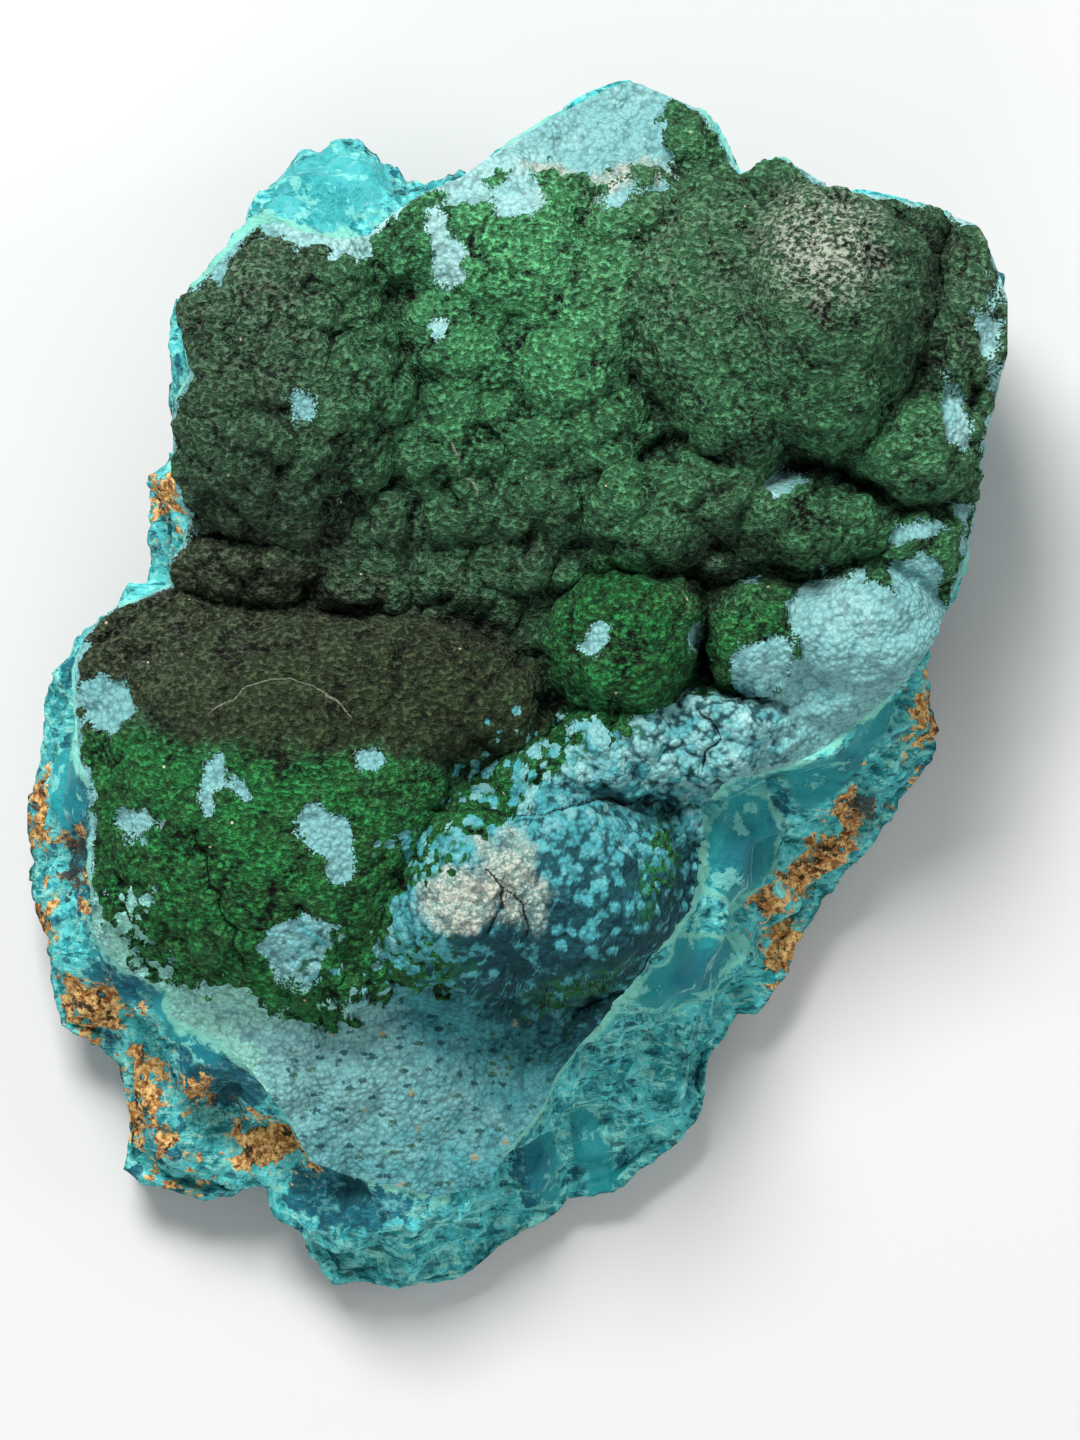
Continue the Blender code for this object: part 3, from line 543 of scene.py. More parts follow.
def patch_depth(x, y, patches):
    """How far each point lies inside the nearest of some oval patches in mm, negative outside them all."""
    depth = np.full(x.shape, -1e9)
    for patch_x, patch_y, half_width, half_length, turn in patches:
        across, along = turned(x - patch_x, y - patch_y, turn)
        reach = np.hypot(across / half_width, along / half_length)
        depth = np.maximum(depth, (1 - reach) * min(half_width, half_length))
    return depth


def smooth(value, low, high):
    """0 below low, 1 above high, and an even S between them."""
    share = np.clip((value - low) / (high - low), 0, 1)
    return share * share * (3 - 2 * share)


def spot_average(x, y, spots, reach):
    """The spots' measures at each point: their average, each weighed by a bell curve this wide."""
    weight_sum = np.full(x.shape, 1e-9)
    sums = np.zeros((len(spots[0]) - 2, *x.shape))
    for spot_x, spot_y, *measures in spots:
        weight = np.exp(-((x - spot_x) ** 2 + (y - spot_y) ** 2) / (2 * reach**2))
        weight_sum += weight
        sums += weight * np.array(measures)[:, None]
    return sums / weight_sum


# A knob's top stands this share of its rise above the surface, and its foot at most this much lower.
KNOB_TOP = 0.6
KNOB_FALL = 1.2
# A clump has a lump's profile, squeezed by this much out to this many spacings from its middle, and its
# shoulder's level, a share of its rise, lies on the surface.
CLUMP_SQUEEZE = 1.2
CLUMP_REACH = 0.85
CLUMP_LEVEL = 0.7


def clump_field(points, size, seed):
    """Height of clumps of one size, a spacing and a rise: as a knob, but fuller, with a steeper foot."""
    spacing, rise = size
    reach = CLUMP_SQUEEZE * np.minimum(nearest_seed(points, spacing, seed), CLUMP_REACH)
    return rise * (lump_profile(reach) - CLUMP_LEVEL)


def knob_field(points, size, seed):
    """Height of knobs of one size, a spacing and a rise: round on top, with a crease between them."""
    spacing, rise = size
    return rise * (KNOB_TOP - np.minimum(nearest_seed(points, spacing, seed) ** 2, KNOB_FALL))


def softened(table, step, times):
    """A table averaged with its neighbours this many places away, several times over."""
    for axis in (0, 1) * times:
        edges = [(step, step) if axis == side else (0, 0) for side in (0, 1)]
        wide = np.pad(table, edges, mode="edge")
        table = (wide.take(range(table.shape[axis]), axis) + table
                 + wide.take(range(2 * step, table.shape[axis] + 2 * step), axis)) / 3
    return table


# The bare field at the foot of the crust, and the one along its head.
BARE_FOOT = (
    (-34.1, -29.8), (-28, -29.8), (-24, -31.3), (-18, -31.3), (-12.6, -29.8), (-11.6, -21.3), (-10, -17.3),
    (-7.2, -13.3), (-4.4, -9.5), (-1.2, -7), (2.8, -5), (6, -3), (13, -2.2), (18, -0.6), (22.4, -0.6),
    (25.5, -0.8), (28.5, 3.4), (27.6, 8), (29.6, 11), (34, 11.2), (39, 9.6), (43, 8.5), (60, 5), (60, -70),
    (-60, -70), (-60, -36), (-42, -30),
)
BARE_HEAD = (
    (-16, 42), (-14.6, 43.3), (-12.6, 45.8), (-11, 47.6), (-8.6, 49.1), (-6.6, 49.5), (0.9, 50.8),
    (4.4, 51.8), (8.9, 50.3), (10.9, 51.3), (15.9, 51), (16.1, 53.8), (15.2, 56.3), (16.5, 58.5), (16, 70),
    (-30, 70), (-30, 46), (-20, 44),
)
# Bare patches in the velvet: middle, half width, half length and turn of each.
BARE_PATCHES = (
    (0.4, 48.8, 2.4, 2.3, 0), (-3.9, 49.4, 2.1, 1.3, 0), (-6.2, 42.8, 1.7, 3, 8), (-7.2, 45.6, 1.1, 2, 0),
    (-7.1, 35.8, 0.8, 0.8, 0), (-20.8, 27.6, 1.3, 1.5, 20), (10.9, 48.9, 1.7, 0.8, 10),
    (14.4, 49.5, 0.9, 0.6, 0), (26.9, 20.4, 1.9, 1.6, 0), (47.7, 34.8, 1.1, 3.6, 6),
    (44.1, 26.8, 1.1, 3.2, 24), (45.1, 17.6, 1.2, 1, 0), (40.9, 15.6, 2.2, 0.7, 15),
    (40.3, 10.4, 2.6, 3.2, -20), (44.9, 12.8, 0.9, 3, 0), (8.4, 4.3, 1.4, 1.8, 0), (18.1, 5, 0.6, 1.2, 0),
    (25.2, 2.2, 3.3, 2.6, 30), (24.4, 10.6, 0.8, 0.5, 0), (-40.6, -1.6, 3, 2.6, -30), (-43, 3.6, 1, 1.2, 0),
    (-29.7, -9.8, 0.9, 2.6, -8), (-27.1, -10.2, 1, 1, 0), (-14.2, -7.5, 1.4, 1.4, 0),
    (-18.6, -14.4, 2.6, 2.3, -30), (-17, -17.4, 1.3, 2.1, 10), (-37.1, -13.4, 1.6, 1.4, 0),
    (-34.6, -13.7, 0.7, 0.6, 0), (-33.1, -19.8, 0.7, 0.6, 0), (-35.6, -19.8, 0.9, 0.6, 0),
    (-38.9, -24.6, 3.2, 5.2, 25), (-20.1, -26.2, 4.5, 3.4, 0), (-12.9, -26, 1.9, 3.2, 0),
    (-29.1, 41, 1.2, 1, 0),
)
# Where velvet and knobs are mixed, with the knobs' tops bare and velvet in the gaps: middle, half width, half
# length and turn. The velvet comes and goes there in blotches this wide.
MIXED_PATCHES = (
    (-5, -12.5, 5, 14, -52), (-12.5, -27.5, 9, 5, 0), (4, -4.6, 5, 10, -70), (-20, -32.5, 6, 2.4, -12),
    (14.8, -17.4, 2.6, 6, -10), (-34, -18, 4.5, 4.5, 0), (6, -30, 8, 2.4, 20), (-8, -30, 6, 2.2, -15),
    (-37, -25, 3.8, 7.5, 35),
)
MIXED_BLOTCH = 2.6
BARE_SHARE = 0.46

# Where the bare knobs are coarse. Elsewhere they are fine and low.
COARSE_PATCHES = ((14, -4.5, 13, 6.5, 0), (5, -18, 16, 16, 0), (-14, -27, 8, 4.5, 0))
# The terrace at the foot is dull, with short pits that are only painted, as dark shade. Its left edge and the
# rim beside the ball are mint.
TERRACE = ((-7, -41.5, 18, 10.5, 0),)
MINTY_PATCHES = ((-29.8, -36.5, 3, 9, 35), (-38.5, -24, 2.8, 6.5, 33), (-24, -31.6, 7, 1.8, -8))

# The cap of the pale ball and the crest along the head are nearly white.
WHITE_PATCHES = (
    (-4.8, -21, 4.4, 3.6, 10), (-0.2, -18.4, 3, 4.2, 0), (1.6, -21.4, 2.2, 3, 0), (-2.2, -15.6, 2, 1.6, 0),
    (11, 50.6, 6.5, 1.1, 12), (3.6, 51.6, 3, 0.7, -12), (-34.5, -13.9, 0.9, 0.7, 0),
)

# The colour of the bare knobs from place to place: x, y, and from -1 for deep teal to 1 for pale mint. The
# deep teal on the pale ball's lower flank and in the crescent round its foot is partly its own colour and
# partly painted shade.
PALE_REACH = 3.6
PALE_SPOTS = (
    (-4, 52, 0.75), (6, 56, 0.55), (14, 57, 0.55), (-6, 43, 0.8), (0, 48, 0.8), (-20, 28, 0.5),
    (27, 20, 0.7), (47, 35, 0.7), (44, 27, 0.7), (41, 12, 0.5), (45, 14, 0.6), (33, 7, 0.72), (25, 2, 0.55),
    (38, 3, 0.5), (30, -1, 0.4), (22, -5, 0.35), (12, -5, 0.45), (4, -8, 0.3), (8, 4, 0.6), (-1, -10, 0),
    (-7, -15, 0), (8, -13, 0.1), (15, -13, 0.05), (10, -19, -0.5), (15, -19, -0.8), (5, -24, -0.85),
    (12, -25, -1), (-2, -27, -0.9), (-8, -27, -0.5), (-9, -21, -0.1), (2, -31, -1), (10, -31, -0.9),
    (-5, -31, -0.6), (-12, -26, 0.3), (-20, -26, 0.35), (-39, -24, 0.5), (-41, -2, 0.4), (-18, -15, 0.5),
    (-32, -31, 0.6), (-24, -34, 0.6), (-14, -34, 0.45), (-4, -36, 0.4), (-16, -42, 0.35), (-6, -42, 0.3),
    (2, -38, 0.1), (-14, -49, 0.15), (-4, -49, 0), (3, -35, -0.3), (-37, -13, 0.6), (-28, -10, 0.5),
    (-14, -7, 0.5),
)

# The velvet's colour from place to place: x, y, and how bright, how fresh and how olive it is, and how much
# grey dust and painted sheen it has.
VELVET_REACH = 4.2
VELVET_SPOTS = (
    (-24, 41, 0.15, 0, 0.1, 0.45), (-22, 31, 0.1, 0, 0, 0.3), (-26, 20, 0, 0, 0.1, 0.1),
    (-30, 30, 0.1, 0, 0, 0.3), (-15, 24, 0.25, 0, 0, 0.2), (-14, 36, 0.3, 0, 0.1, 0.2),
    (-10, 44, 0.55, 0.1, 0.2, 0.1), (-6, 40, 1, 0, 0, 0.15), (0, 44, 1.1, 0, 0, 0.2), (8, 43, 1, 0, 0, 0.3),
    (-2, 34, 0.85, 0, 0, 0.15), (8, 33, 0.8, 0, 0, 0.15), (14, 42, 0.45, 0, 0.1, 0.4),
    (-6, 26, 0.5, 0, 0, 0.1), (-11, 29, 0.5, 0, 0, 0.1), (6, 24, 0.5, 0, 0, 0.1), (15, 35, 0.3, 0, 0, 0.35),
    (13, 28, 0.5, 0.1, 0, 0.1), (18, 47, 0.3, 0, 0.2, 0.45), (25, 44, 0.2, 0, 0.1, 0.5),
    (25, 36, 0.25, 0, 0, 0.3), (33, 36, 0.25, 0, 0.1, 0.25), (20, 29, 0.45, 0.2, 0, 0.1),
    (30, 29, 0.34, 0.2, 0, 0.1), (40, 42, 0.2, 0, 0.2, 0.35), (46, 36, 0.2, 0, 0.2, 0.35),
    (45, 24, 0.4, 0.2, 0.1, 0.3), (39, 26, 0.55, 0.2, 0, 0.2), (13, 17, 0.38, 0.15, 0, 0.1),
    (21, 20, 0.28, 0.1, 0, 0.2), (28, 17, 0.38, 0.25, 0, 0.1), (40, 14, 0.4, 0.4, 0, 0.1),
    (20, 11, 0.1, 0, 0.4, 0.6), (5, 19, 0.25, 0, 0.1, 0.2), (-4, 17, 0.25, 0, 0, 0.1),
    (-14, 17, 0.1, 0, 0.1, 0.2), (3, 11, 0.1, 0, 0.2, 0.3), (-4, 10, 0.1, 0, 0.2, 0.2),
    (-13, 10, 0.1, 0, 0.4, 0.3), (-22, 12, 0, 0, 0.6, 0.4), (-30, 10, 0, 0, 0.7, 0.4),
    (-38, 5, 0.1, 0, 0.8, 0.3), (-41, 1, 0.2, 0.2, 0.6, 0.2), (-30, 2, 0, 0, 1, 0.2),
    (-20, 2, 0, 0, 1, 0.15), (-10, 1, 0, 0, 1, 0.1), (-1, -1, 0, 0, 0.95, 0.1), (-20, -3, 0, 0, 1, 0.1),
    (-30, -3, 0, 0, 0.9, 0.1), (-8, -4, 0, 0, 0.9, 0.1), (0, 4, 0.1, 0, 0.7, 0.2), (11, 4, 0.5, 1, 0, 0),
    (17, 3, 0.3, 0.9, 0, 0), (7, 5, 0.5, 1, 0, 0), (11, 9, 0.6, 1, 0, 0), (10, -1, 0.4, 1, 0, 0),
    (23, 7, 0.2, 0.9, 0, 0), (28, 11, 0.2, 0.6, 0, 0.2), (-38, -8, 0.4, 0.9, 0.1, 0),
    (-30, -9, 0.3, 1, 0.1, 0), (-22, -9, 0.3, 1, 0.1, 0), (-12, -10, 0.3, 1, 0, 0),
    (-2, -6, 0.3, 0.9, 0.2, 0), (-36, -17, 0.4, 1, 0.1, 0), (-26, -17, 0.2, 0.8, 0.25, 0),
    (-14, -17, 0.2, 1, 0, 0), (-30, -26, 0.3, 0.8, 0.2, 0), (-20, -24, 0.2, 0.8, 0.2, 0),
    (-10, -24, 0.3, 1, 0, 0), (20, 54, 0.5, 0.3, 0, 0.1), (28, 52, 0.4, 0.2, 0, 0.1),
    (38, 47, 0.2, 0, 0.3, 0.2),
)
# The spot with the most dust and painted sheen, a painted highlight on the top of the great lump: its middle,
# its reach and how strong it is there.
SHEEN_TOP = (31.0, 43.6)
SHEEN_TOP_REACH = 5.4
STRONGEST_SHEEN = 2.8

# How wide the noise is that frays the bare patches' edges, and how far it moves them.
FRAY_WIDTH = 1.2
FRAY_REACH = 0.6
FIELD_FRAY_REACH = 1.1
RIM_WIDTH = 0.45

# The grain of the velvet and the pale knobs, in mm: spacing and height. The velvet stands proud of the bare
# patches by its thickness. Its lumps are bent out of their even shapes this far, in waves this wide.
VELVET_LUMPS = (3.5, 1.3)
SMALL_VELVET_LUMPS = (2.0, 0.9)
VELVET_TUFTS = (1.0, 0.42)
PALE_LUMPS = (2.4, 0.75)
PALE_KNOBS = (1.05, 0.58)
VELVET_THICKNESS = 0.3
GRAIN_BEND = 1.1
GRAIN_BEND_WIDTH = 2.3

# Cracks across the crust, and hairs of lint that lie on it: the points along each.
CRACKS = (
    ((-31.5, -14.0), (-30.9, -16.0), (-30.0, -19.5), (-28.6, -22.4), (-27.6, -24.4), (-27.4, -27.5)),
    ((-2.4, -18.5), (-0.4, -20.6), (1.0, -21.6), (1.2, -24.5)), ((-0.4, -20.6), (-2.2, -24.0)),
    ((19.0, -2.0), (20.4, -5.0), (19.4, -8.0)), ((-8.0, -12.4), (1.0, -12.8), (9.0, -11.0), (15.5, -11.6)),
)
CRACK_WIDTH = 0.32
CRACK_DEPTH = 0.7
LINT = (
    ((-5.8, 24.2), (-4.9, 21.2), (-3.6, 18.9)),
    ((-29.6, -2.2), (-26.0, -0.4), (-22.0, 0.6), (-18.6, -0.4), (-16.2, -2.8)),
)
WANDER = 0.7
WANDER_WIDTH = 1.7
FAR_FROM_LINES = 9.0

# The creases between the lumps are deepened by this share of how far they lie under their surroundings, at
# most this far, and not within this distance of the crust's edge. The surroundings are an average with the
# points this many squares away, taken this often.
CREASE_SHARE = 0.45
CREASE_DEPTH = 4.0
CREASE_FADE = 4.0
SURROUNDING_SQUARES = 5
SURROUNDING_TIMES = 8


def line_distance(points, lines):
    """How far each point lies from the nearest of some lines, seen from above, and the same with a minus on
    the lines' right, which blends to a sharp zero on the line. The lines wander a little."""
    x = points[:, 0] + WANDER * ripple(points, WANDER_WIDTH, 61)
    y = points[:, 1] + WANDER * ripple(points, WANDER_WIDTH, 62)
    distance, offset = np.full((2, *x.shape), FAR_FROM_LINES)
    for line in lines:
        for start, end in zip(np.array(line[:-1]), np.array(line[1:])):
            way = end - start
            off = stretch_distance(x, y, start, way)
            left = np.where(way[0] * (y - start[1]) > way[1] * (x - start[0]), 1, -1)
            offset = np.where(off < distance, off * left, offset)
            distance = np.minimum(distance, off)
    return distance, offset


def bent(points, reach, width, seeds):
    """Points moved this far to and fro, in waves this wide."""
    return points + reach * np.stack([ripple(points, width, seed) for seed in seeds], axis=1)


def new_piece(name, points, faces, measures):
    """A mesh object from points in mm and four-cornered faces, with its measures as point attributes.

    The points are moved to the frame's origin and held inside the solid's box."""
    points = np.clip(points - BOX_MIDDLE, BOX_LOW + BOX_MARGIN, BOX_HIGH - BOX_MARGIN)
    mesh = bpy.data.meshes.new(name)
    mesh.vertices.add(len(points))
    mesh.vertices.foreach_set("co", (points * MM).astype(np.float32).ravel())
    mesh.loops.add(faces.size)
    mesh.loops.foreach_set("vertex_index", faces.astype(np.int32).ravel())
    mesh.polygons.add(len(faces))
    mesh.polygons.foreach_set("loop_start", np.arange(0, faces.size, 4, dtype=np.int32))
    mesh.update(calc_edges=True)
    mesh.validate()
    mesh.shade_smooth()
    for measure, values in measures.items():
        mesh.attributes.new(measure, "FLOAT", "POINT").data.foreach_set("value", values.astype(np.float32))
    piece = bpy.data.objects.new(name, mesh)
    bpy.context.scene.collection.objects.link(piece)
    return piece


def grid_faces(corner):
    """The squares of a table of corner numbers, counterclockwise seen from where the grid faces."""
    squares = np.stack([corner[:-1, :-1], corner[1:, :-1], corner[1:, 1:], corner[:-1, 1:]], axis=-1)
    return squares.reshape(-1, 4)


u, v = square_grid(CRUST_SQUARES)
rows = CRUST_SQUARES + 1
share, angles = round_from_square(u.ravel(), v.ravel())
crust = top_of(share, angles)
x, y = crust[:, 0], crust[:, 1]
fray = ripple(crust, FRAY_WIDTH, 81) + 0.6 * ripple(crust, FRAY_WIDTH / 2, 82)
bent_crust = bent(crust, GRAIN_BEND, GRAIN_BEND_WIDTH, (64, 65, 66))
lot = nearest_lot(crust, PALE_KNOBS[0], 141)
pale_knobs = knob_field(crust, PALE_KNOBS, 141)
bare = np.maximum(depth_inside(x, y, BARE_FOOT), depth_inside(x, y, BARE_HEAD)) + FIELD_FRAY_REACH * fray
patch_x, patch_y = (x + bent_crust[:, 0]) / 2, (y + bent_crust[:, 1]) / 2
bare = np.maximum(bare, patch_depth(patch_x, patch_y, BARE_PATCHES) + FRAY_REACH * fray)
mixed = smooth(patch_depth(x, y, MIXED_PATCHES) + fray, 0, 1.5)
top_bare = 6 * (pale_knobs / PALE_KNOBS[1] - BARE_SHARE) + 2.5 * ripple(crust, MIXED_BLOTCH, 63)
bare += mixed * (0.6 * np.clip(bare, -2, 2) + top_bare - bare)
edge_distance = (1 - share) * ring(CRUST_EDGE, angles)
bare = np.maximum(bare, RIM_WIDTH * (1 + fray) - edge_distance)
is_bare = smooth(bare, -0.2, 0.3)
coarse = smooth(patch_depth(x, y, COARSE_PATCHES) + fray, -1.5, 1.0)
white = patch_depth(patch_x, patch_y, WHITE_PATCHES) + 0.7 * fray
coarse *= 1 - 0.65 * smooth(white, -0.5, 1.0)
velvet_lumps = clump_field(bent_crust, VELVET_LUMPS, 101) + clump_field(bent_crust, SMALL_VELVET_LUMPS, 102)
velvet_tufts = knob_field(crust, VELVET_TUFTS, 111)
velvet_grain = velvet_lumps * (1 - smoothness(x, y)) + velvet_tufts
pale_grain = coarse * knob_field(bent_crust, PALE_LUMPS, 131) + (0.3 + 0.7 * coarse) * pale_knobs
crack, crack_offset = line_distance(crust, CRACKS)
lint, lint_offset = line_distance(crust, LINT)
grain = (1 - is_bare) * (velvet_grain + VELVET_THICKNESS) + is_bare * pale_grain
grain -= CRACK_DEPTH * np.exp(-((crack / CRACK_WIDTH) ** 2))
facing = facing_of(crust.reshape(rows, rows, 3)).reshape(-1, 3)
crust = crust + facing * grain[:, None]
height = crust[:, 2].reshape(rows, rows)
hollow = (softened(height, SURROUNDING_SQUARES, SURROUNDING_TIMES) - height).ravel()
hollow *= smooth(edge_distance, 0, CREASE_FADE)
crust[:, 2] -= CREASE_SHARE * np.clip(hollow, 0, CREASE_DEPTH)
bright, fresh, olive, dust_and_sheen = spot_average(x, y, VELVET_SPOTS, VELVET_REACH)
top_reach = np.hypot(x - SHEEN_TOP[0], y - SHEEN_TOP[1]) / SHEEN_TOP_REACH
crust_measures = {
    "bare": bare,
    "white": white,
    "tone": spot_average(x, y, PALE_SPOTS, PALE_REACH)[0],
    "lot": lot,
    "bright": bright,
    "fresh": fresh,
    "olive": olive,
    "dust_and_sheen": np.maximum(dust_and_sheen, STRONGEST_SHEEN * np.exp(-(top_reach**2))),
    "coarse": coarse,
    "terrace": smooth(patch_depth(x, y, TERRACE) + fray, -1.0, 1.5),
    "minty": patch_depth(x, y, MINTY_PATCHES) + 1.2 * fray,
    "mossy": mixed,
    "knob": np.where(is_bare > 0.5, pale_knobs / PALE_KNOBS[1], velvet_tufts / VELVET_TUFTS[1]),
    "lump": np.where(is_bare > 0.5, 0.3, velvet_lumps / (VELVET_LUMPS[1] + SMALL_VELVET_LUMPS[1])),
    "crack": crack,
    "crack_offset": crack_offset,
    "lint": lint,
    "lint_offset": lint_offset,
    "hollow": hollow,
}
crust_corner = np.arange(rows * rows).reshape(rows, rows)
crust_piece = new_piece("crust", crust, grid_faces(crust_corner), crust_measures)


class Paint:
    """One socket of a material. Arithmetic on it adds Math nodes, and node() adds any other node."""

    def __init__(self, tree, socket=None):
        self.tree, self.socket = tree, socket

    def node(self, kind, settings=None, values=None, output=0):
        """Adds a node: its settings first, then a number, a colour or another Paint for each named socket."""
        made = self.tree.nodes.new(kind)
        for name, setting in (settings or {}).items():
            setattr(made, name, setting)
        for name, value in (values or {}).items():
            if isinstance(value, Paint):
                self.tree.links.new(value.socket, made.inputs[name])
            else:
                made.inputs[name].default_value = value
        return Paint(self.tree, made.outputs[output])

    def math(self, operation, *values):
        return self.node("ShaderNodeMath", {"operation": operation}, dict(enumerate(values)))

    def __add__(self, other):
        return self.math("ADD", self, other)

    def __sub__(self, other):
        return self.math("SUBTRACT", self, other)

    def __rsub__(self, other):
        return self.math("SUBTRACT", other, self)

    def __mul__(self, other):
        return self.math("MULTIPLY", self, other)

    __radd__ = __add__
    __rmul__ = __mul__

    def ease(self, low, high):
        """0 below low, 1 above high, and an even S between them."""
        settings = {"interpolation_type": "SMOOTHSTEP"}
        return self.node("ShaderNodeMapRange", settings, {"Value": self, "From Min": low, "From Max": high})

    def measure(self, name):
        """A point attribute of the piece."""
        return self.node("ShaderNodeAttribute", {"attribute_name": name}, output=2)

    def place(self, turn=0.0, stretch=(1.0, 1.0, 1.0)):
        """The place on the piece in metres, turned about the upright and squeezed by the stretch."""
        place = self.node("ShaderNodeTexCoord", output=3)
        values = {"Vector": place, "Rotation": (0.0, 0.0, math.radians(turn)), "Scale": stretch}
        return self.node("ShaderNodeMapping", None, values)

    def bent_place(self, reach, width):
        """The place in metres, moved to and fro this many mm in waves this many mm wide."""
        place = self.place()
        waves = self.node("ShaderNodeTexNoise", None, {"Vector": place, "Scale": 1 / (width * MM)}, output=1)
        values = {0: waves, 1: (reach * MM,) * 3, 2: place}
        return self.node("ShaderNodeVectorMath", {"operation": "MULTIPLY_ADD"}, values)

    def noise(self, width, detail=3.0, roughness=0.55, turn=0.0, stretch=(1.0, 1.0, 1.0)):
        """Noise from 0 to 1 with waves this many mm wide."""
        values = {"Vector": self.place(turn, stretch), "Scale": 1 / (width * MM), "Detail": detail,
                  "Roughness": roughness}
        return self.node("ShaderNodeTexNoise", None, values)

    def cells(self, width, output=0, place=None):
        """Cells round scattered seeds this many mm apart.

        Output 0 is the distance to the nearest seed in cell widths, and 1 a random colour for each cell."""
        values = {"Vector": place or self.place(), "Scale": 1 / (width * MM)}
        return self.node("ShaderNodeTexVoronoi", None, values, output)

    def mix(self, factor, one, other):
        """A colour between two others: a factor of 0 gives the first, and 1 the second."""
        settings = {"data_type": "RGBA", "clamp_factor": True}
        return self.node("ShaderNodeMix", settings, {0: factor, 6: one, 7: other}, output=2)

    def layered(self, colour, *layers):
        """A colour with others mixed into it in turn. Each layer is a factor and a colour."""
        for factor, other in layers:
            colour = self.mix(factor, colour, other)
        return colour

    def shaded(self, colour, shade):
        """A colour times a number."""
        values = {"Vector": colour, "Scale": shade}
        return self.node("ShaderNodeVectorMath", {"operation": "SCALE"}, values)

    def bump(self, height, distance):
        """A normal from a height of 1 standing for this many mm."""
        return self.node("ShaderNodeBump", None, {"Height": height, "Distance": distance * MM})


def new_material(name, constants):
    """A Principled material, its nodes as a Paint, and its surface node, which gets the constants."""
    material = bpy.data.materials.new(name)
    material.use_nodes = True
    surface = material.node_tree.nodes["Principled BSDF"]
    for socket, value in constants.items():
        surface.inputs[socket].default_value = value
    return material, Paint(material.node_tree), surface


def wear(surface, colour, roughness, normal, coat=None):
    """Links what changes over a surface."""
    links = surface.id_data.links
    links.new(colour.socket, surface.inputs["Base Color"])
    links.new(roughness.socket, surface.inputs["Roughness"])
    links.new(normal.socket, surface.inputs["Normal"])
    if coat:
        links.new(coat.socket, surface.inputs["Coat Weight"])


def dressed(piece, material):
    """Puts the material on a piece, which rides on the stone and takes the solid's place."""
    piece.data.materials.append(material)
    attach(piece, "root")
    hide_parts("specimen")


DARK_VELVET = (0.023, 0.058, 0.028, 1)
GREEN_VELVET = (0.052, 0.255, 0.096, 1)
FRESH_VELVET = (0.016, 0.142, 0.036, 1)
OLIVE_VELVET = (0.026, 0.041, 0.016, 1)
DUST_AND_SHEEN = (0.33, 0.37, 0.29, 1)
SPECK = (0.62, 0.55, 0.36, 1)
DEEP_TEAL_AND_SHADE = (0.006, 0.055, 0.070, 1)
MID_BLUE = (0.060, 0.31, 0.34, 1)
PALE_BLUE = (0.19, 0.43, 0.43, 1)
PALE_MINT = (0.40, 0.65, 0.62, 1)
MINT_GREEN = (0.26, 0.60, 0.49, 1)
SHADE_BLUE = (0.005, 0.045, 0.055, 1)
CAP_WHITE = (0.47, 0.50, 0.41, 1)
CAP_GREY = (0.23, 0.38, 0.35, 1)
LINT_GREY = (0.17, 0.19, 0.13, 1)
OCHRE_SPECK = (0.34, 0.24, 0.09, 1)
PIT_GREEN = (0.035, 0.10, 0.05, 1)

material, paint, surface = new_material("malachite_velvet", {"Specular IOR Level": 0.2})
knob, hollow = paint.measure("knob"), paint.measure("hollow")
strokes = paint.noise(0.66, 2.0, 0.6, 20.0, (1.0, 1.35, 1.2)).ease(0.37, 0.63)
fine = paint.noise(0.26, 1.0, 0.5).ease(0.28, 0.72)
uneven = fine - 0.5
blotches = paint.noise(2.4, 2.0)
blotchy = blotches - 0.5
grains = paint.cells(0.62, place=paint.bent_place(0.4, 0.8))

# The velvet: green over dark, in places fresh or olive, with painted light on its tufts and lumps, painted
# shade between them and in its hollows, grey dust with painted sheen, and pale specks.
is_olive = (paint.measure("olive") + 0.7 * blotchy).ease(0.34, 0.66)
is_fresh = (paint.measure("fresh") + 0.4 * blotchy).ease(0.3, 0.7)
velvet = paint.layered(
    DARK_VELVET,
    (paint.measure("bright"), GREEN_VELVET),
    (is_fresh, FRESH_VELVET),
    (0.42 * blotches.ease(0.42, 0.62) * is_fresh, OLIVE_VELVET),
    (is_olive, OLIVE_VELVET),
)
# Painted shading: lighter on the tops of the tufts and lumps, darker in the gaps between them.
tuft_shade = (1.3 - 1.35 * grains) * (0.35 + 1.25 * strokes)
tuft_shade = tuft_shade + 0.28 * fine + 0.40 * knob - 0.12 + 1.1 * paint.measure("lump")
# Painted shade in the hollows, where the surface lies below its surroundings.
velvet = paint.shaded(velvet, tuft_shade * (1 - 0.55 * hollow.ease(0.2, 2.4)))
# Grey dust mixed with painted sheen on the fibres, strongest as a painted highlight on the great lump's top.
dust_and_sheen_cover = (0.6 * strokes + 0.3 * fine + 0.6 * blotchy).ease(0.1, 1.0) * (0.6 * paint.measure("dust_and_sheen") - 0.04)
velvet = paint.layered(velvet, (dust_and_sheen_cover, DUST_AND_SHEEN), (1 - paint.cells(3.9).ease(0.02, 0.05), SPECK))

# The pale knobs: from deep teal, partly painted shade, to mint, nearly white on the cap, with painted light
# on their tops, painted shade between them and in their hollows, velvet in the gaps where the two are mixed,
# and painted pits on the terrace.
coarse, terrace = paint.measure("coarse"), paint.measure("terrace")
tone = paint.measure("tone")
own_tone = coarse * (0.7 + 0.9 * (0 - tone).ease(0.0, 0.8)) * (paint.measure("lot") - 0.5)
tone += own_tone + 0.7 * blotchy
cap = paint.mix((paint.noise(3.6, 2.0) + 0.3 * uneven).ease(0.42, 0.62), CAP_GREY, CAP_WHITE)
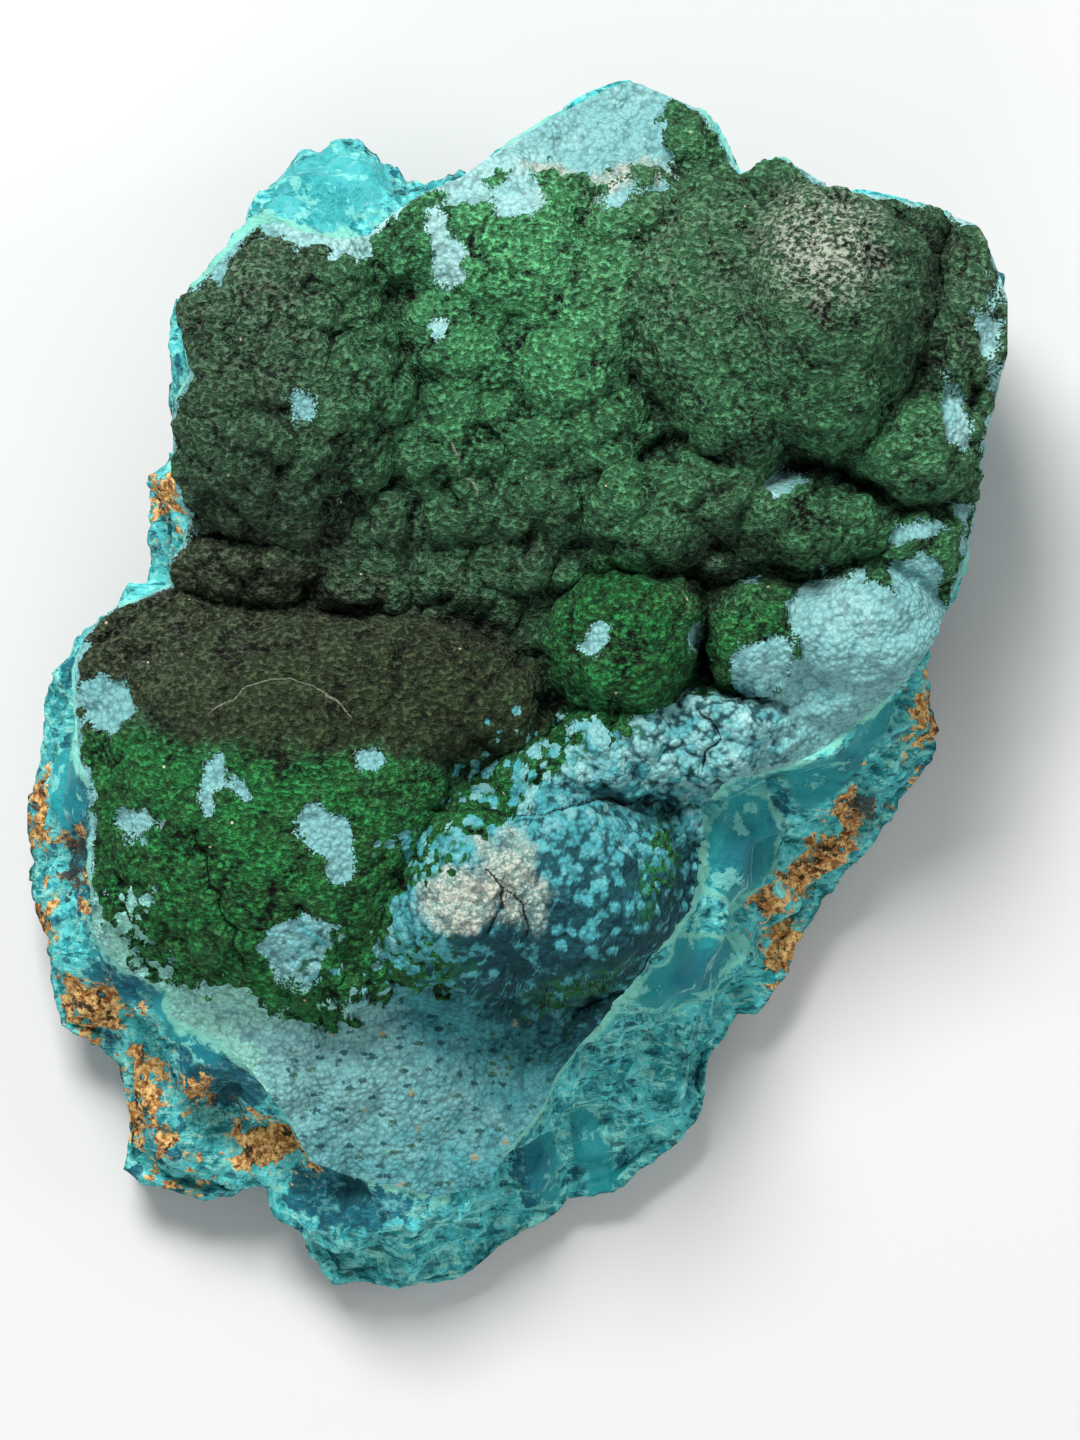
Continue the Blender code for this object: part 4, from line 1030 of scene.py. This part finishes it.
# The deepest teal is partly painted shade on the pale ball's lower flank and round its foot.
pale = paint.layered(
    DEEP_TEAL_AND_SHADE,
    (tone.ease(-0.9, 0.0), MID_BLUE),
    (tone.ease(-0.1, 0.5), PALE_BLUE),
    (tone.ease(0.5, 1.1), PALE_MINT),
    (0.85 * (paint.measure("minty") + 1.5 * uneven).ease(-0.5, 0.8), MINT_GREEN),
    (paint.measure("white").ease(-0.4, 0.8), paint.shaded(cap, 0.92)),
)
# Painted shading: lighter on the knobs' tops and grains, darker between them and in the hollows.
knob_shade = 0.76 + 0.50 * coarse * (knob - 0.25) + 0.26 * fine + 0.40 * (0.5 - grains) - 0.12 * terrace
pale = paint.shaded(pale, knob_shade * (1 - 0.38 * coarse * hollow.ease(0.3, 2.0)))
# The gaps between the knobs are painted dark blue as shade, and green where velvet lies in them.
gap_shade_and_velvet = paint.mix(paint.measure("mossy") * blotches.ease(0.36, 0.5), SHADE_BLUE, FRESH_VELVET)
gaps = (0.30 - knob + 0.7 * (grains - 0.45) + 0.25 * (0 - tone).ease(0.0, 0.8)).ease(0.0, 0.38)
# The terrace's pits are painted only: dark blue painted shade, and dark green in blotches.
pits = paint.cells(1.35, place=paint.place(20.0, (0.7, 1.3, 1.0)))
pits = 1 - (pits + 0.15 * uneven).ease(0.18, 0.33)
ochre_specks = 1 - (paint.cells(4.1, place=paint.place(40.0)) + 0.10 * uneven).ease(0.04, 0.12)
pale = paint.layered(
    pale,
    (gaps * (0.30 + 0.55 * coarse), gap_shade_and_velvet),
    (0.85 * terrace * pits, paint.mix(blotches.ease(0.5, 0.6), SHADE_BLUE, PIT_GREEN)),
    (0.8 * terrace * ochre_specks, OCHRE_SPECK),
)

# Cracks are dark, and lint lies over both.
is_pale = (paint.measure("bare") + 0.5 * uneven).ease(-0.08, 0.08)
off_crack = paint.math("ABSOLUTE", paint.measure("crack_offset")) + paint.measure("crack").ease(0.3, 0.8)
off_lint = paint.math("ABSOLUTE", paint.measure("lint_offset")) + paint.measure("lint").ease(0.3, 0.8)
colour = paint.mix(is_pale, velvet, pale)
colour = paint.shaded(colour, 0.12 + 0.88 * (off_crack + 0.1 * uneven).ease(0.05, 0.17))
colour = paint.mix(1 - off_lint.ease(0.04, 0.09), colour, LINT_GREY)
relief = (1 - is_pale) * (strokes + 1.0 - grains) + is_pale * (1.0 - grains)
wear(surface, colour, 0.92 - 0.05 * is_pale, paint.bump(relief, 0.30))
dressed(crust_piece, material)

# The broken sides, all round from the crust's edge over the outermost edge to the foot: fresh chrysocolla,
# glassy in places and veined, with iron oxide in its hollows. They broke off the same stone, so they are one
# skin that starts on the crust's edge, corner for corner.

# Rows of squares from the crust's edge to the foot, the first few of which ease to the crust's edge. The
# detail fades out over one part in this many of the way down, at either end.
SIDE_ROWS = 76
SEAM_ROWS = 5
EDGE_FADE = 12
# Chips, crumbs and the grit of the iron oxide: spacing and height of each. Ledges: spacing and height.
SMALL_CHIPS = (4.6, 0.9)
SMALLEST_CHIPS = (1.9, 0.7)
CRUMBS = (1.3, 0.45)
GRIT = (0.9, 0.5)
STEP_SPACING = 2.4
STEP_DEPTH = 0.6
# Hollows in the sides: middle, width and depth.
PITS = (
    (-29, -41.5, 1.5, 1.6), (-16.1, -51.8, 1.5, 1.8), (-6.4, -50, 1.4, 1), (-44.8, -17, 1.6, 1.2),
    (-45, -20.6, 1.2, 1), (36.5, -12.4, 1.8, 1), (20.5, -40, 1.6, 1),
)
# Where the iron oxide lies, and where the chrysocolla is glassy: middle, half width, half length and turn.
OCHRE_PATCHES = (
    (30.5, -18, 2.2, 6.8, -38), (35, -13, 3, 2.6, 0), (26.2, -21.5, 2.4, 1.6, 0), (42.8, -4, 1.8, 5.4, 0),
    (28.4, -26, 1.4, 2.8, -20), (-48.4, -13.3, 1.9, 3.6, 0), (-45.1, -15.6, 2, 2.5, 0),
    (-44.4, -20, 2.3, 1.8, 0), (-42.5, -33, 4.6, 2.8, -22), (-37.4, -36.8, 1.9, 1.6, 0),
    (-36.7, -42.6, 2, 4.2, 0), (-32.1, -42, 1.5, 2.7, 0), (-25.2, -46.2, 5, 3.2, -25),
    (-35, -50.6, 5.6, 1.2, -8), (-34.6, 26.8, 1, 1.4, 0), (-35.2, 19.2, 1.7, 3, 0),
    (-47.5, -24, 1.4, 3.2, 0), (-35, -47, 2.2, 1.7, 0),
)
GLASSY_PATCHES = (
    (23.4, -15.8, 3.9, 6.4, -12), (17.9, -28.6, 3.2, 6.2, -57), (3, -49, 1.6, 4.6, 10),
    (31, -9, 4.4, 2, 30), (8.4, -46, 1.6, 4.2, 5), (-44.6, -10, 2, 4.6, 0), (-33, -34, 1.6, 6.6, 40),
    (35.6, -4.6, 3.6, 1.6, 50), (-18.6, 50, 5.6, 4.2, 0),
)
LIGHT_PATCHES = ((-18.6, 49.4, 8, 6, 0), (-36, 14, 3, 8, 0))
# The two large glassy patches have a mint border, partly a painted highlight along their edges.
BORDERED_PATCHES = ((21, -22, 7, 15, -25),)
DEEP_PATCHES = (
    (-43.2, -15, 2, 6.2, 0), (-39, -29.8, 3.4, 1.8, -20), (-29.5, -38.6, 5, 3.4, -35),
    (-16.4, -51.2, 6, 3.4, 0), (2.2, -48.4, 2, 3.2, 0), (23, -17, 2.2, 3.4, -10),
    (18.6, -28.6, 3.2, 1.8, 40), (34, -7.6, 1.6, 1.2, 0), (26.6, -13.4, 1, 2.6, -10),
)
# The pale rim under the crust's edge, in mm, and where it is wider.
PALE_RIM_WIDTH = 0.9
WIDE_RIM = ((13.6, -24, 5, 15, -25), (48, 26, 8, 26, -6), (30, 53, 24, 8, -14))
WIDER = 1.7
# The noise that frays the patches' edges, and the noises that place iron oxide, glassy stone and deep blue on
# the lower sides and the back, which the photograph doesn't show: how wide their waves are.
SIDE_FRAY_WIDTH = 1.6
OCHRE_WIDTH = 9.0
GLASSY_WIDTH = 11.0
DEEP_WIDTH = 8.0

ring_angles = border(angles.reshape(rows, rows))
columns = len(ring_angles)
down_grid, angle_grid = np.meshgrid(np.linspace(0, 1, SIDE_ROWS + 1), ring_angles, indexing="ij")
down, side_angles = down_grid.ravel(), angle_grid.ravel()
sides, side_facing = side_of(down, side_angles)
sides = broken(sides, side_facing, down)
x, y = sides[:, 0], sides[:, 1]
keeps = np.clip(EDGE_FADE * down, 0, 1) * np.clip(EDGE_FADE * (1 - down), 0, 1)
bent_sides = bent(sides, 1.3, 4.0, (91, 92, 93))
fray = ripple(sides, SIDE_FRAY_WIDTH, 84) + 0.7 * ripple(sides, 0.7, 85)
upper_half = smooth(0.62 - down, 0, 0.12)
lower_half = 1 - upper_half
ochre = patch_depth(x, y, OCHRE_PATCHES) * upper_half
ochre += lower_half * (3.2 * ripple(sides, OCHRE_WIDTH, 86) - 1.6)
ochre += 1.3 * fray + 1.1 * ripple(bent_sides, 3.2, 89) - 0.3
glassy = patch_depth(x, y, GLASSY_PATCHES) * upper_half
glassy += lower_half * 3.0 * ripple(sides, GLASSY_WIDTH, 87)
is_ochre = smooth(ochre, -0.3, 0.5)
is_glassy = smooth(glassy, -0.6, 0.8)
chips = -knob_field(bent_sides, SMALL_CHIPS, 151) - knob_field(bent_sides, SMALLEST_CHIPS, 152)
crumbs = knob_field(bent_sides, CRUMBS, 153)
steps = bent_sides[:, 2] / STEP_SPACING + 0.5 * ripple(sides, 6.0, 94)
steps = STEP_DEPTH * (steps - np.floor(steps) - 0.5)
grit = knob_field(sides, GRIT, 161)
detail = (chips + steps + crumbs * (1 - is_ochre)) * (1 - 0.85 * is_glassy) + is_ochre * (grit - 0.25)
pit = np.zeros(len(sides))
for pit_x, pit_y, width, depth in PITS:
    pit += depth * np.exp(-((x - pit_x) ** 2 + (y - pit_y) ** 2) / (2 * width**2)) * upper_half
detail -= pit
sides = sides + side_facing * np.minimum(keeps * detail, room_left(sides))[:, None]
side_grid = sides.reshape(SIDE_ROWS + 1, columns, 3)
gap = border(crust.reshape(rows, rows, 3)) - side_grid[0]
for row in range(SEAM_ROWS):
    side_grid[row] += gap * (1 - row / SEAM_ROWS)
side_grid[..., 2] = np.clip(side_grid[..., 2], 0, None)
deep = patch_depth(x, y, DEEP_PATCHES) * upper_half + lower_half * 2 * ripple(sides, DEEP_WIDTH, 88)
side_measures = {
    "ochre": ochre,
    "glassy": glassy + 0.5 * fray + 0.8 * ripple(sides, 3.0, 96),
    "bordered": smooth(patch_depth(x, y, BORDERED_PATCHES), 0, 2),
    "deep": smooth(deep, -1, 1),
    "rim": (PALE_RIM_WIDTH * (1.2 + 0.8 * fray) + WIDER * smooth(patch_depth(x, y, WIDE_RIM), 0, 2)
            - np.linalg.norm(side_grid - side_grid[:1], axis=2).ravel()),
    "crumb": crumbs / CRUMBS[1],
    "chip": chips,
    "pit": pit,
    "light": smooth(patch_depth(x, y, LIGHT_PATCHES), -0.5, 1.5),
}
ring_corner = np.arange((SIDE_ROWS + 1) * columns).reshape(SIDE_ROWS + 1, columns)
ring_corner = np.concatenate([ring_corner, ring_corner[:, :1]], axis=1)
sides_piece = new_piece("broken_sides", side_grid.reshape(-1, 3), grid_faces(ring_corner), side_measures)

TEAL = (0.020, 0.280, 0.300, 1)
DEEP_BLUE = (0.003, 0.100, 0.155, 1)
TURQUOISE = (0.095, 0.56, 0.57, 1)
GLASS = (0.005, 0.225, 0.240, 1)
STREAK_AND_HIGHLIGHT = (0.26, 0.70, 0.60, 1)
SEAM_AND_SHADE = (0.003, 0.050, 0.062, 1)
OCHRE = (0.42, 0.175, 0.045, 1)
RUST = (0.13, 0.045, 0.016, 1)
SAND = (0.62, 0.40, 0.15, 1)
MINT = (0.22, 0.60, 0.47, 1)

shine = {"Coat Roughness": 0.25, "Specular IOR Level": 0.18}
material, paint, surface = new_material("broken_chrysocolla", shine)
clouds = paint.noise(3.6, 4.0, 0.6)
fine = paint.noise(0.6, 3.0, 0.65)
uneven = fine - 0.5
layers = paint.noise(2.6, 3.0, 0.6, 0.0, (0.7, 0.7, 2.6))
shards = paint.noise(1.7, 3.0, 0.65, 35.0, (0.6, 2.0, 1.6))
facet = paint.cells(1.5, output=1, place=paint.bent_place(1.4, 1.3)) - 0.5
light, crumb = paint.measure("light"), paint.measure("crumb")
deep = (paint.measure("deep") + 0.9 * facet + 1.2 * (clouds - 0.5)).ease(0.28, 0.40)

# The broken stone: teal and turquoise in facets, with pale streaks along its layers, pale painted highlights
# along its shards, and dark seams along both.
stone_tone = clouds + 0.45 * facet + 0.5 * uneven + 0.08 * light
stone = paint.layered(
    TEAL,
    (stone_tone.ease(0.28, 0.56), TURQUOISE),
    (0.9 * deep, DEEP_BLUE),
    ((0.65 - 0.45 * deep) * (layers + 0.6 * uneven).ease(0.54, 0.66), STREAK_AND_HIGHLIGHT),
    # Pale painted highlights along the shards.
    ((0.75 - 0.50 * deep) * (shards + 0.3 * uneven).ease(0.54, 0.62), STREAK_AND_HIGHLIGHT),
    (0.75 * (0.425 - shards + 0.3 * uneven).ease(0.0, 0.06), SEAM_AND_SHADE),
    (0.6 * (0.42 - layers + 0.4 * uneven).ease(0.0, 0.12), SEAM_AND_SHADE),
)
# Painted shading: lighter on the chips' ridges and the crumbs' tops, darker in the chips' bowls.
stone_shade = 0.90 + 0.8 * (fine - 0.45) + 0.35 * paint.measure("chip") + 0.5 * (crumb - 0.2)
stone = paint.shaded(stone, stone_shade)

# Its glassy places, smooth and deeper in colour. The two large ones have a mint border, partly a painted
# highlight along their edges.
is_glassy = paint.measure("glassy").ease(-0.25, 0.35)
glass = paint.layered(
    GLASS,
    (clouds.ease(0.35, 0.65), TEAL),
    (0.6 * deep * paint.measure("deep"), DEEP_BLUE),
    (0.45 * light * (clouds + 0.6 * uneven).ease(0.3, 0.6), TURQUOISE),
    (0.5 * (layers + 0.3 * uneven).ease(0.57, 0.63), STREAK_AND_HIGHLIGHT),
)
# The border: mint, and a painted highlight along the patch's edge.
glass_rim = 1 - paint.math("ABSOLUTE", paint.measure("glassy") + 0.8 * uneven).ease(0.05, 0.40)
stone = paint.layered(stone, (is_glassy, glass), (0.65 * glass_rim * paint.measure("bordered"), MINT))

# Iron oxide in rust, ochre and sand, with painted light on its crumbs and painted shade between them, the
# mint rim under the crust, and painted shade in the pits.
crumbs = paint.noise(1.5, 3.0, 0.7)
crumbly = crumbs - 0.5
rust_spots = paint.noise(1.1, 2.0, 0.7).ease(0.36, 0.54)
rusty = paint.layered(RUST, (rust_spots, OCHRE), (fine.ease(0.44, 0.57), SAND))
# Painted shading: lighter on the crumbs' tops, near black between them.
rusty = paint.shaded(rusty, (1.45 * fine + 0.5 * crumb + 0.1) * (0.08 + 0.92 * crumbs.ease(0.41, 0.51)))
is_ochre = (paint.measure("ochre") + 9.0 * crumbly + 2.5 * uneven).ease(-0.2, 0.35) * (1 - is_glassy)
is_rim = (paint.measure("rim") + 1.8 * uneven + 1.4 * crumbly).ease(-0.2, 0.4)
# Painted shade in the pits of the sides, in the seams' dark colour.
in_pit = (paint.measure("pit") + 4.0 * crumbly + 1.5 * uneven).ease(0.80, 1.05)
colour = paint.layered(
    stone,
    (is_ochre, rusty),
    (0.75 * is_rim, MINT),
    (0.9 * in_pit * paint.measure("pit").ease(0.1, 0.5), SEAM_AND_SHADE),
)
glassy = is_glassy * (1 - is_ochre)
relief = fine + layers + (1 - is_glassy) * shards
wear(surface, colour, 0.78 - 0.32 * glassy, paint.bump(relief, 0.32), 0.06 * glassy)
dressed(sides_piece, material)

# The back: a rough break with shallow hollows, of the same stone. Between them it is level, and the stone
# lies on it. Its edge is the foot of the broken sides, corner for corner.

BACK_CHIPS = (7.0, 1.0)
SMALL_BACK_CHIPS = (2.6, 0.4)
# What the back's colours take for the measures that only the sides have.
NO_RIM = -9.0
BACK_CRUMB = 0.3

back = back_of(share, angles)
back_chips = -knob_field(back, BACK_CHIPS, 171) - knob_field(back, SMALL_BACK_CHIPS, 172)
back[:, 2] = np.clip(back[:, 2] + (0.3 + back_chips) * (1 - share**8), 0, None)
back[border(crust_corner)] = side_grid[-1]
back_measures = {
    "ochre": 3.0 * ripple(back, OCHRE_WIDTH, 86) - 1.2 + 0.9 * ripple(back, SIDE_FRAY_WIDTH, 84),
    "glassy": 3.0 * ripple(back, GLASSY_WIDTH, 87),
    "deep": smooth(2 * ripple(back, DEEP_WIDTH, 88), -1, 1),
    "chip": back_chips,
}
for measure, value in (("bordered", 0), ("rim", NO_RIM), ("crumb", BACK_CRUMB), ("pit", 0), ("light", 0)):
    back_measures[measure] = np.full(len(back), value)
back_piece = new_piece("back", back, grid_faces(crust_corner)[:, ::-1], back_measures)
dressed(back_piece, material)
